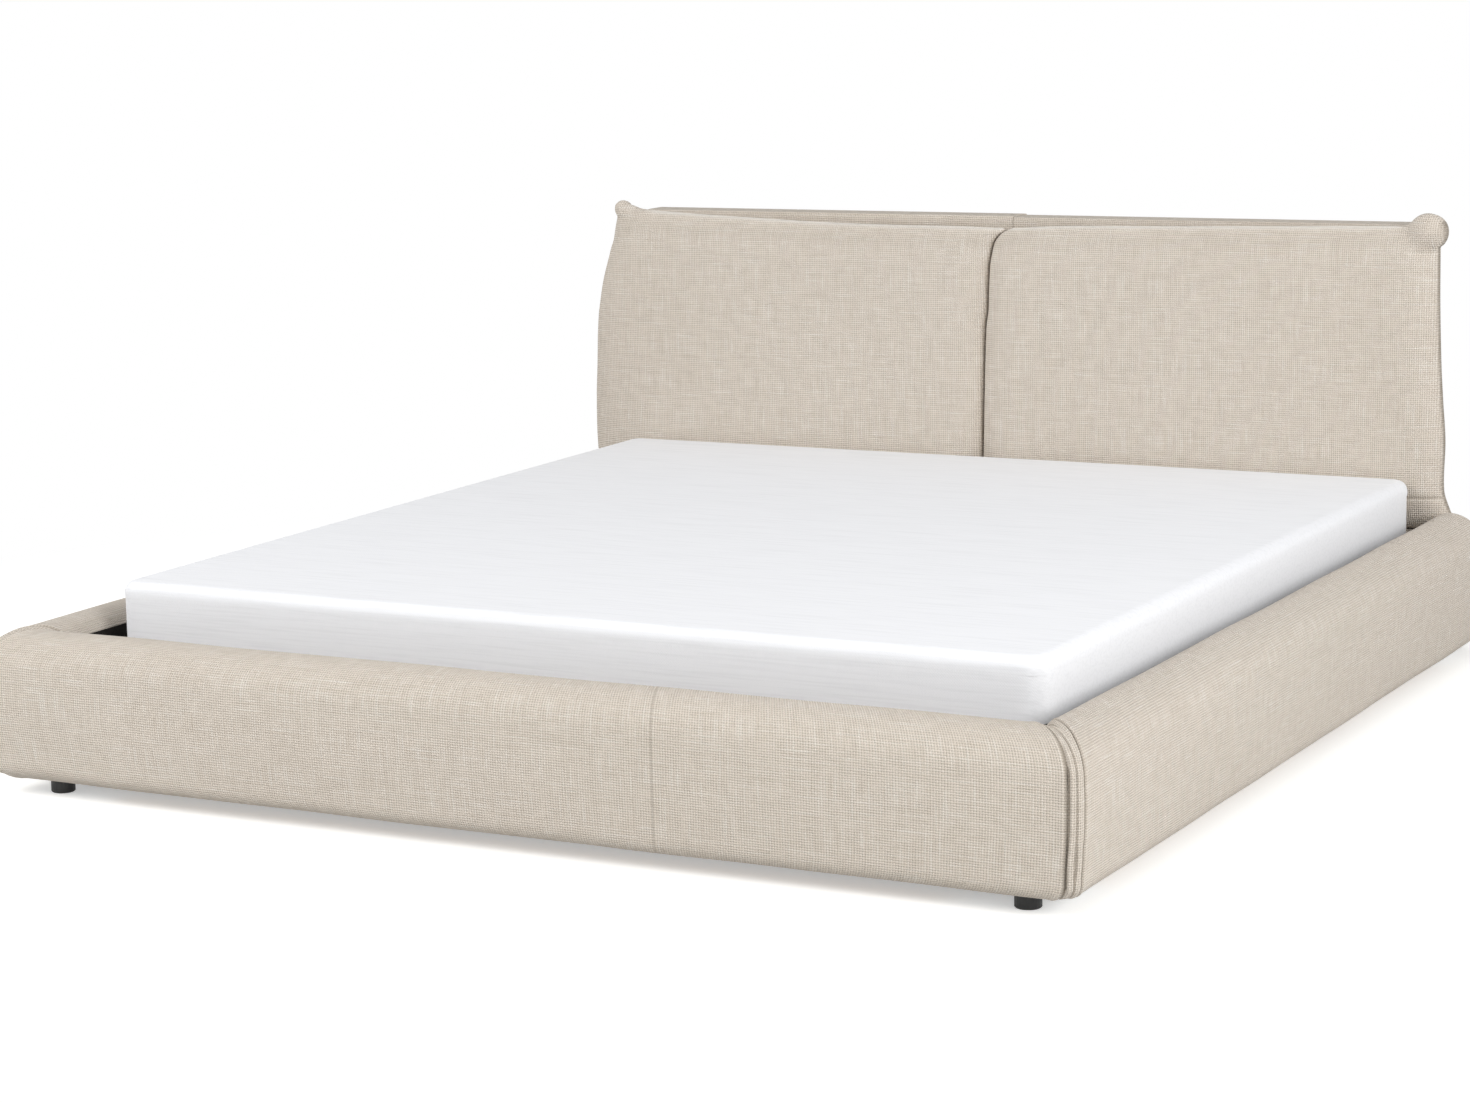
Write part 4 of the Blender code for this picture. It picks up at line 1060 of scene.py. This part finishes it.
@dataclass
class CushionUnit:
    """One headboard cushion with the flap that hangs it and the flap's hook strip."""

    word: str
    side: int
    outer: Line
    inner: Line
    top: Line
    ear: Ear
    width: float = 0.98
    height: float = 0.615
    front_round: float = 0.085
    back_round: float = 0.030
    crown: float = 0.0354
    back: float = 0.033
    seam_half: float = 0.004
    low_seam: float = 0.319
    ridge_dip: float = 0.0030
    flap_shade: float = 0.12
    flap_length: float = 0.37
    tape_width: float = 0.05
    tape_inset: float = 0.04

    def shares(self, length: float, marks: Sequence[float]) -> list[float]:
        """Shares of a length, close together at its marks and over its last 10 cm."""
        places = stations(length, 0.012, (0.0, length, *marks))
        places += [length - 0.011 - 0.003 * k for k in range(33)]
        kept: list[float] = []
        for at in sorted(places):
            if not kept or at - kept[-1] > 0.0008:
                kept.append(at)
        kept[-1] = length
        return [at / length for at in kept]

    def flat_place(self, u: float, t: float) -> Pair:
        """Where a share from the inner seam and a share up lie across the cushion."""
        guess = CUSHION_BOTTOM + t * (0.848 + 0.022 * u ** 3 - CUSHION_BOTTOM)
        inner, outer = read_off(self.inner, guess), read_off(self.outer, guess)
        x = inner + (outer - inner) * u
        return x, CUSHION_BOTTOM + t * (read_off(self.top, x) - CUSHION_BOTTOM)

    def spans(self, x: float, z: float) -> Pair:
        """The cushion's width at a height and its height at a place across."""
        return (abs(read_off(self.outer, z) - read_off(self.inner, z)),
                read_off(self.top, x) - CUSHION_BOTTOM)

    def front_point(self, u: float, t: float) -> Vector:
        """A point of the front face."""
        x, z = self.flat_place(u, t)
        width, height = self.spans(x, z)
        from_side, from_top = min(u, 1 - u) * width, (1 - t) * height
        rise = (quarter_rise(from_side, self.front_round)
                * quarter_rise(min(t * height, from_top), self.front_round))
        edge = min(from_side, from_top, t * height)
        y = SEAM_Y - self.seam_half * min(1.0, edge / 0.004) - self.crown * rise
        full = min(1.0, rise * 2)
        y += self.ridge_dip * bell(from_top - 0.017, 0.0065) * full
        y += 0.003 * bell(z - self.low_seam, 0.004) * min(1.0, rise * 3)
        for depth, wide, tall, seed, pull in (
                (0.0011, 0.030, 0.10, 3.3, math.exp(-from_top / 0.030)),
                (0.0016, 0.10, 0.035, 5.1, math.exp(-from_side / 0.035)),
                (0.0022, 0.30, 0.24, 7.7, 1.0)):
            y -= depth * wobble(x / wide, z / tall, self.side * seed) * pull * full
        x, z = self.ear.spread(x, z)
        return Vector((x, self.ear.front(x, y, z) if 0 < u < 1 and 0 < t < 1 else y, z))

    def back_point(self, u: float, t: float) -> Vector:
        """A point of the back face."""
        x, z = self.flat_place(u, t)
        width, height = self.spans(x, z)
        rise = (quarter_rise(min(u, 1 - u) * width, self.back_round)
                * quarter_rise(min(t, 1 - t) * height, self.back_round))
        y = SEAM_Y + self.back * rise
        x, z = self.ear.spread(x, z)
        if 0 < u < 1 and 0 < t < 1:
            y = min(max(y, self.ear.centre[1] + self.ear.bulge(x, z)), SEAM_Y + self.back)
        return Vector((x, y, z))

    def cushion(self) -> Shape:
        """The closed cushion, from its front and back faces."""
        across = self.shares(self.width, ())
        up = self.shares(self.height, (self.low_seam - CUSHION_BOTTOM,))

        def painted_shading_at(column: int, row: int) -> float:
            """Painted shade along seams and in the band under the ridge, less a painted highlight
            on the ridge.
            """
            u, t = across[column], up[row]
            top = (1 - t) * self.height
            edge = min(u * self.width, (1 - u) * self.width, t * self.height)
            low = CUSHION_BOTTOM + t * self.height - self.low_seam
            # Painted shade in the seams' creases and in a band 3 cm under the ridge
            painted_shading = max((0.5 if u < 0.5 else 0.9) * bell(edge, 0.0016), 0.6 * bell(low, 0.0016),
                       0.11 * bell(top - 0.030, 0.018))
            # A painted highlight along the ridge
            return painted_shading - bell(top, 0.0045) * ease((0.93 - u) / 0.04)

        def grid(point: Callable[[float, float], Vector]) -> Shape:
            """One face of the cushion."""
            return mapped_grid(
                len(across) - 1, len(up) - 1, lambda c, r: point(across[c], up[r]),
                lambda c, r: self.ear.spread(*self.flat_place(across[c], up[r])), painted_shading_at)

        shape, back = grid(self.front_point), grid(self.back_point)
        rear = bpy.data.meshes.new("rear_face")
        back.to_mesh(rear)
        back.free()
        shape.from_mesh(rear)
        bpy.data.meshes.remove(rear)
        return close_up(shape, ends=False)

    def flap_ends(self) -> Pair:
        """Where the flap starts at the middle and ends at the headboard's outer edge."""
        return self.side * 0.0004 - 0.002, self.side * 0.8943

    def flap(self) -> Shape:
        """The flap: down behind the cushion, over the headboard and down its back."""
        near, far = self.flap_ends()
        line = [(1.08535, 0.8053), (1.08535, 0.845), (1.08535, 0.8595)]
        line += [(1.0915 + a, 0.8610 + b) for a, b in arc((0, 0), 0.0061, 180, 90, 4)]
        line += [(1.125, 0.8672), (1.1545, 0.8670)]
        line += [(1.1572 + a, 0.8610 + b) for a, b in arc((0, 0), 0.0061, 90, 0, 4)]
        line += [(1.1633, 0.80), (1.1633, 0.6253)]
        points = spaced(line, 0.009)
        lengths = run_lengths(points)
        steps = 60
        return thicken(mapped_grid(
            steps, len(points) - 1, lambda c, r: (near + (far - near) * c / steps, *points[r]),
            lambda c, r: (abs(far - near) * c / steps, lengths[r]),
            lambda c, r: self.flap_shade), 0.0024)

    def hook_strip(self) -> Shape:
        """The hook tape inside the flap's rear hem, held there by a seam."""
        near, far = (end + step * self.side * self.tape_inset
                     for end, step in zip(self.flap_ends(), (1, -1)))
        steps = 40
        sheet = mapped_grid(
            steps, 6, lambda c, r: (near + (far - near) * c / steps, 1.1608,
                                    0.6453 + self.tape_width * r / 6),
            lambda c, r: (abs(far - near) * c / steps, self.tape_width * r / 6))
        bmesh.ops.solidify(sheet, geom=sheet.faces, thickness=0.001)
        bmesh.ops.recalc_face_normals(sheet, faces=sheet.faces)
        return sheet

    def build(self, finishes: Finishes) -> None:
        """Make and dress the cushion, its flap and its hook strip."""
        body = f"{self.word}_cushion"
        cloth = finishes.of(Slot.UPHOLSTERY)
        make_piece(f"{self.word}_headboard_cushion", self.cushion(), cloth, Slot.UPHOLSTERY, body,
                   f"{self.word}_cushion", 1.2)
        strip = make_piece(f"{self.word}_hook_tape", self.hook_strip(), finishes.of(Slot.HOOK),
                           Slot.HOOK, body, f"{self.word}_hook_strip")
        flap = make_piece(f"{self.word}_hanging_flap", self.flap(), cloth, Slot.UPHOLSTERY, body,
                          f"{self.word}_flap")


@dataclass
class HeadAssembly:
    """The upholstered headboard and the two cushions hung on it."""

    finishes: Finishes
    ridge: Line = ((-0.99, 0.8715), (-0.884, 0.871), (-0.741, 0.864), (-0.591, 0.858),
                   (-0.444, 0.852), (-0.251, 0.849), (-0.110, 0.849), (0.006, 0.847),
                   (0.120, 0.8535), (0.255, 0.856), (0.431, 0.859), (0.646, 0.863),
                   (0.855, 0.867), (0.96, 0.868))
    split: Line = ((0.25, -0.058), (0.361, -0.056), (0.631, -0.048), (0.668, -0.043),
                   (0.730, -0.040), (0.775, -0.037), (0.807, -0.031), (0.821, -0.026),
                   (0.833, -0.017), (0.841, -0.006), (0.848, 0.012))
    left_edge: Line = ((0.25, -1.008), (0.344, -1.015), (0.436, -1.015), (0.528, -1.010),
                       (0.620, -1.005), (0.666, -0.998), (0.712, -0.989), (0.758, -0.975),
                       (0.781, -0.968), (0.803, -0.960), (0.826, -0.956), (0.849, -0.952),
                       (0.871, -0.950))
    right_edge: Line = ((0.25, 0.974), (0.277, 0.972), (0.291, 0.965), (0.332, 0.952),
                        (0.435, 0.953), (0.516, 0.947), (0.597, 0.942), (0.719, 0.938),
                        (0.800, 0.937), (0.820, 0.936), (0.870, 0.936))

    def build(self) -> None:
        """Make the headboard's cover and both cushion units."""
        board = ruffle(remeshed_copy("headboard_upholstery", 0.010, 2), 0.0007, 0.12)
        make_piece("headboard_cover", board, self.finishes.of(Slot.UPHOLSTERY), Slot.UPHOLSTERY,
                   stands_for="headboard_upholstery")
        left_split = [(z, min(x - 0.0015, -0.008)) for z, x in self.split]
        left_ear = Ear(-1, (-0.951, 0.871), (-0.939, 1.053, 0.872), 0.0178, (0.030, 0.030),
                       0.020, 0.0)
        right_ear = Ear(1, (0.936, 0.868), (0.9145, 1.053, 0.856), 0.0383, (0.034, 0.036),
                        0.012, 0.816)
        for unit in (CushionUnit("left", -1, self.left_edge, left_split, self.ridge, left_ear),
                     CushionUnit("right", 1, self.right_edge, self.split, self.ridge, right_ear)):
            unit.build(self.finishes)


# Water mattress

@dataclass
class WaterMattress:
    """The zipped cover and all that it holds."""

    finishes: Finishes
    quilt_bottom: float = 0.3304
    quilt_edge: float = 0.022
    cover_wall: float = 0.002
    zip_bottom: float = 0.2456
    zip_top: float = 0.2516
    tooth_pitch: float = 0.0055
    tooth_size: Place = (0.0030, 0.0014, 0.0046)
    tub_bottom: float = 0.1794
    tub_top: float = 0.3300
    foam_foot: float = 0.160
    foam_crest: float = 0.110
    liner_wall: float = 0.0012
    bag_x: float = 0.45
    pad_size: Pair = (0.30, 0.60)
    pad_top: float = 0.1789
    pad_wall: float = 0.0028
    ribbon_pitch: float = 0.025

    def outline(self, inset: float, corner: float | None = None) -> list[Pair]:
        """The mattress's outline, drawn in by an inset."""
        return rounded_rectangle(MATTRESS_X - inset, MATTRESS_FOOT_Y + inset,
                                 MATTRESS_HEAD_Y - inset, corner or MATTRESS_CORNER - inset)

    def band(self, levels: Line, wall: float, floor: bool = False) -> Shape:
        """A band of cloth round the mattress.

        Args:
            levels: The inset and height of each line of the band.
            wall: The cloth's thickness.
            floor: Whether the lowest line is closed.

        Returns:
            The closed band.
        """
        outlines = [self.outline(inset) for inset, _ in levels]
        count = min(len(spaced(outline, 0.020)) for outline in outlines) - 1
        rings = [spaced(outline, run_lengths(outline)[-1] / count) for outline in outlines]
        lengths = run_lengths(rings[0])
        shape = mapped_grid(count, len(levels) - 1,
                            lambda c, r: (*rings[r][c], levels[r][1]),
                            lambda c, r: (lengths[c], levels[r][1]))
        bmesh.ops.remove_doubles(shape, verts=shape.verts, dist=1e-6)
        if floor:
            fill_floor(shape, min(level[1] for level in levels))
        face_along(shape, lambda face: face.normal.xy.dot(face.calc_center_median().xy))
        bmesh.ops.solidify(shape, geom=shape.faces, thickness=wall)
        return shape

    def quilt(self) -> Shape:
        """The padded top: a slab with round corners and a broad round edge."""
        shape = bmesh.new()
        add_box(shape, (2 * MATTRESS_X, MATTRESS_LENGTH, MATTRESS_TOP - self.quilt_bottom),
                (0, MATTRESS_MIDDLE_Y, (MATTRESS_TOP + self.quilt_bottom) / 2))
        round_edges(shape, [edge for edge in shape.edges
                            if abs(edge.verts[0].co.z - edge.verts[1].co.z) > 0.01],
                    MATTRESS_CORNER, 10)
        round_edges(shape, [edge for edge in shape.edges
                            if all(v.co.z > MATTRESS_TOP - 1e-5 for v in edge.verts)],
                    self.quilt_edge, 8)
        top = [face for face in shape.faces if face.normal.z > 0.999]
        for width in (0.002, 0.004):
            bmesh.ops.inset_region(shape, faces=top, thickness=width)
        return close_up(shape, ends=False)

    def liner(self) -> Shape:
        """The welded vinyl tub that lines the sloping edge foams, open at the top."""
        depth = self.tub_top - self.tub_bottom
        levels = [(0.012, self.tub_bottom), (0.0025, self.tub_bottom + 0.0025),
                  (0.0, self.tub_bottom + 0.012)]
        levels += [(0.0, self.tub_bottom + depth * k / 8) for k in range(1, 9)]
        count, rings = 360, []
        for inset, z in levels:
            share = (z - self.tub_bottom) / depth
            width = self.foam_foot + (self.foam_crest - self.foam_foot) * share + inset + 0.0005
            ring = self.outline(width, 0.014)
            rings.append(spaced(ring, run_lengths(ring)[-1] / count)[:count + 1])

        def place(column: int, row: int) -> Place:
            """A point of the tub, drawn in where the film ripples."""
            (x, y), z = rings[row][column], levels[row][1]
            swell = abs(0.0006 * wobble(x / 0.05, y / 0.05, z / 0.04))
            return x * (1 - swell), y - (swell if y > MATTRESS_MIDDLE_Y else -swell), z

        lengths = run_lengths(rings[-1])
        shape = mapped_grid(count, len(levels) - 1, place, lambda c, r: (lengths[c], levels[r][1]))
        bmesh.ops.remove_doubles(shape, verts=shape.verts, dist=1e-5)
        fill_floor(shape, self.tub_bottom)
        face_along(shape, lambda face: -face.normal.z * face.calc_area())
        bmesh.ops.solidify(shape, geom=shape.faces, thickness=self.liner_wall)
        return shape

    def teeth(self) -> Shape:
        """The zip's tape and its row of moulded teeth."""
        tape = self.band([(0.0006, self.zip_bottom), (0.0006, self.zip_top)], 0.0016)
        line = spaced(self.outline(-0.0001), self.tooth_pitch)
        middle = (self.zip_bottom + self.zip_top) / 2
        for (x0, y0), (x1, y1) in zip(line, line[1:]):
            tooth = add_box(tape, self.tooth_size, (0, 0, 0))
            bmesh.ops.scale(tape, vec=(0.6, 1.0, 0.75), verts=[v for v in tooth if v.co.y < 0])
            turn = Matrix.Rotation(math.atan2(y1 - y0, x1 - x0), 3, "Z")
            bmesh.ops.rotate(tape, cent=(0, 0, 0), matrix=turn, verts=tooth)
            bmesh.ops.translate(tape, vec=((x0 + x1) / 2, (y0 + y1) / 2, middle), verts=tooth)
        return tape

    def heater(self, side: int) -> Shape:
        """A vinyl heating pad: a flat envelope with a welded rim and raised heating ribbons."""
        wide, tall = self.pad_size
        x0, y0 = side * self.bag_x - wide / 2, MATTRESS_MIDDLE_Y - tall / 2
        columns, rows = 60, 120

        def rise(x: float, y: float) -> float:
            """The envelope's height over a place on the pad."""
            rim = min(x, wide - x, y, tall - y)
            ribbon = 0.5 + 0.5 * math.cos(2 * math.pi * x / self.ribbon_pitch)
            filled = 0.0007 * ease(rim / 0.010 - 0.6)
            return -0.0010 + filled + 0.0003 * ribbon * ease(rim / 0.012 - 1)

        def spot(column: int, row: int) -> Pair:
            """A place on the flat pad."""
            return wide * column / columns, tall * row / rows

        def place(column: int, row: int) -> Place:
            """A point of the envelope's top."""
            x, y = spot(column, row)
            return x0 + x, y0 + y, self.pad_top + rise(x, y)

        shape = mapped_grid(columns, rows, place, spot)
        face_along(shape, lambda face: face.normal.z)
        bmesh.ops.solidify(shape, geom=shape.faces, thickness=self.pad_wall)
        gland = add_box(shape, (0.024, 0.030, 0.0072),
                        (side * self.bag_x, MATTRESS_MIDDLE_Y - 0.265, 0.1726))
        round_edges(shape, {edge for vert in gland for edge in vert.link_edges}, 0.002, 3)
        bmesh.ops.recalc_face_normals(shape, faces=shape.faces)
        return shape

    def build(self) -> None:
        """Make and dress the cover, zip, foam, liner, water bags and heaters."""
        def make(name: str, shape: Shape, slot: Slot, node: str,
                 body: str = "bed") -> bpy.types.Object:
            """Make a piece in its slot's own finish that replaces a node."""
            return make_piece(name, shape, self.finishes.of(slot), slot, body, node)

        quilt = make("quilted_top", self.quilt(), Slot.COVER, "cover_top", "mattress_cover")
        border = make("border_cloth", self.band(
            [(0, self.zip_top + SEAT), (0, 0.296), (0, self.quilt_bottom - 0.0001)],
            self.cover_wall), Slot.COVER, "cover_border", body="mattress_cover")
        run_lengths(self.outline(0))[-1]
        base = make("base_cloth", self.band(
            [(0.008, MATTRESS_BOTTOM), (0.0023, MATTRESS_BOTTOM + 0.0023),
             (0, MATTRESS_BOTTOM + 0.008), (0, 0.21), (0, self.zip_bottom - SEAT)],
            self.cover_wall, floor=True), Slot.BASE, "cover_base")
        make("zip_teeth", self.teeth(), Slot.BLACK, "zip_chain")
        for word in ("left", "right", "foot", "head"):
            make(f"{word}_edge_foam", remeshed_copy(f"{word}_bolster", 0.0075, 2), Slot.FOAM,
                 f"{word}_bolster")
        mat = make("foam_mat", remeshed_copy("insulation_mat", 0.0075, 2), Slot.FOAM,
                   "insulation_mat")
        make("middle_foam", remeshed_copy("thermal_divider", 0.004, 2), Slot.FOAM,
             "thermal_divider")
        liner = make("tub_liner", self.liner(), Slot.LINER, "safety_liner")
        for word, side in SIDES:
            bag = ruffle(remeshed_copy(f"{word}_water_core", 0.009, 6), 0.0006, 0.07)
            make(f"{word}_water_bag", bag, Slot.WATER, f"{word}_water_core")
            make(f"{word}_heating_pad", self.heater(side), Slot.HEATER, f"{word}_heater")


# Timber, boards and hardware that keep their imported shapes

@dataclass
class Carcass:
    """Rail timbers, ledgers, deck, pedestal, plates, screws, feet and caps."""

    finishes: Finishes
    crosswise: tuple[str, ...] = ("foot_rail_core", "head_beam_core")
    slots: tuple[tuple[Slot, tuple[str, ...]], ...] = (
        (Slot.PINE, ("_core", "_ledger")),
        (Slot.PLYWOOD, ("_board", "deck_panel_1", "deck_panel_2", "deck_panel_3")),
        (Slot.STEEL, ("_plate", "_screw", "slider")),
        (Slot.BLACK, ("_foot",)),
        (Slot.WHITE, ("_cap",)))

    def material_of(self, name: str) -> Material:
        """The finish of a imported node, by the end of its name."""
        if name in self.crosswise:
            return self.finishes.cross_pine
        slot = next((slot for slot, ends in self.slots if name.endswith(ends)), Slot.LINER)
        return self.finishes.of(slot)

    def dress(self) -> None:
        """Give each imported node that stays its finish."""
        for name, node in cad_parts.items():
            if node.hide_render:
                continue
            material = self.material_of(name)
            if not node.material_slots:
                node.data.materials.append(material)
            for place in node.material_slots:
                place.material = material
            LOG.info("%s: packed shape in %s", name, material.name)


# Studio

@dataclass
class Studio:
    """Camera, pale floor and soft light."""

    spot: Place = (3.01582, -6.05424, 1.51172)
    azimuth: float = 0.5209
    down: float = 0.17337
    roll: float = 0.02606
    lens: float = 87.881
    sensor: float = 36.0
    shift: float = 150 / 1470
    floor_size: float = 14.0
    floor_colour: str = "F2F2F0"
    floor_bounce: str = "D8D8D7"
    floor_glow: float = 0.42
    floor_fade: Pair = (1.7, 2.7)
    fill_light: float = 0.57
    lamps: tuple[tuple[str, Place, Place, Pair, float], ...] = (
        ("front_left_box", (-4.07, -5.94, 4.59), (-0.3, -1.0, 0.3), (3.9, 3.1), 286.0),
        ("left_box", (-4.2, -3.4, 3.2), (-0.3, -1.0, 0.3), (3.0, 2.4), 20.0),
        ("front_right_box", (5.6, -2.6, 2.4), (0.4, 0.0, 0.4), (3.0, 2.2), 192.0),
        ("right_box", (5.2, 0.6, 3.2), (0.4, 0.0, 0.4), (3.0, 2.2), 28.0),
        ("front_box", (-1.2, -6.2, 4.2), (-0.2, -0.6, 0.4), (3.2, 2.4), 12.0))

    def camera(self) -> None:
        """Set the camera at the photograph's place."""
        data = bpy.data.cameras.new("camera")
        data.lens, data.sensor_width, data.shift_x = self.lens, self.sensor, self.shift
        camera = add_object("camera", data)
        turn = (Matrix.Rotation(self.azimuth, 4, "Z")
                @ Matrix.Rotation(math.pi / 2 - self.down, 4, "X")
                @ Matrix.Rotation(-self.roll, 4, "Z"))
        camera.matrix_world = Matrix.Translation(self.spot) @ turn
        bpy.context.scene.camera = camera

    def floor(self) -> None:
        """Lay the floor, which the camera sees as white where nothing shades it."""
        shape = bmesh.new()
        bmesh.ops.create_grid(shape, x_segments=8, y_segments=8, size=self.floor_size)
        floor = add_shape("studio_floor", shape)
        material = bpy.data.materials.new("pale_studio_floor")
        material.use_nodes = True
        tree = material.node_tree
        tree.nodes.clear()
        place = add_node(tree, "TexCoord", take="Object")
        far = add_node(tree, "VectorMath", {0: place}, "Value", operation="LENGTH")
        fade = add_node(tree, "MapRange", {"Value": far, "From Min": self.floor_fade[0],
                                           "From Max": self.floor_fade[1]},
                        interpolation_type="SMOOTHSTEP")
        seen, glossy, through = (add_node(tree, "LightPath", take=f"Is {kind} Ray")
                                 for kind in ("Camera", "Glossy", "Transmission"))
        either = add_node(tree, "Math", {0: seen, 1: glossy}, operation="MAXIMUM")
        either = add_node(tree, "Math", {0: either, 1: through}, operation="MAXIMUM")
        matt, bounce = (add_node(tree, "BsdfDiffuse", {"Color": srgb(code)})
                        for code in (self.floor_colour, self.floor_bounce))
        glow, white = (add_node(tree, "Emission", {"Color": (1, 1, 1, 1), "Strength": strength})
                       for strength in (self.floor_glow, 1.0))
        lit = add_node(tree, "AddShader", {0: matt, 1: glow})
        shown = add_node(tree, "MixShader", {0: fade, 1: lit, 2: white})
        both = add_node(tree, "MixShader", {0: either, 1: bounce, 2: shown})
        add_node(tree, "OutputMaterial", {"Surface": both})
        floor.data.materials.append(material)

    def lamp(self, name: str, place: Place, target: Place, size: Pair, power: float) -> None:
        """Hang one soft box that looks at a target."""
        data = bpy.data.lights.new(name, "AREA")
        data.shape, data.size, data.size_y, data.energy = "RECTANGLE", size[0], size[1], power
        lamp = add_object(name, data)
        lamp.location = place
        lamp.rotation_euler = (Vector(target) - Vector(place)).to_track_quat("-Z", "Y").to_euler()

    def world(self) -> None:
        """Fill the studio with even light, white to the camera."""
        world = bpy.data.worlds.new("studio_world")
        world.use_nodes = True
        tree = world.node_tree
        tree.nodes.clear()
        seen = add_node(tree, "LightPath", take="Is Camera Ray")
        level = add_node(tree, "MapRange", {"Value": seen, "To Min": self.fill_light,
                                            "To Max": 1.0})
        light = add_node(tree, "Background", {"Color": (1, 1, 1, 1), "Strength": level})
        add_node(tree, "OutputWorld", {"Surface": light})
        bpy.context.scene.world = world

    def build(self) -> None:
        """Set up the whole studio."""
        bpy.context.scene.view_settings.view_transform = "Standard"
        self.camera()
        self.floor()
        self.world()
        for lamp in self.lamps:
            self.lamp(*lamp)


def main() -> None:
    """Build the studio and the bed in order."""
    logging.basicConfig(level=logging.INFO, format="%(name)s %(message)s")
    Studio().build()
    finishes = Finishes()
    UpholsteredFrame(finishes).build()
    HeadAssembly(finishes).build()
    WaterMattress(finishes).build()
    Carcass(finishes).dress()


if __name__ == "__main__":
    main()
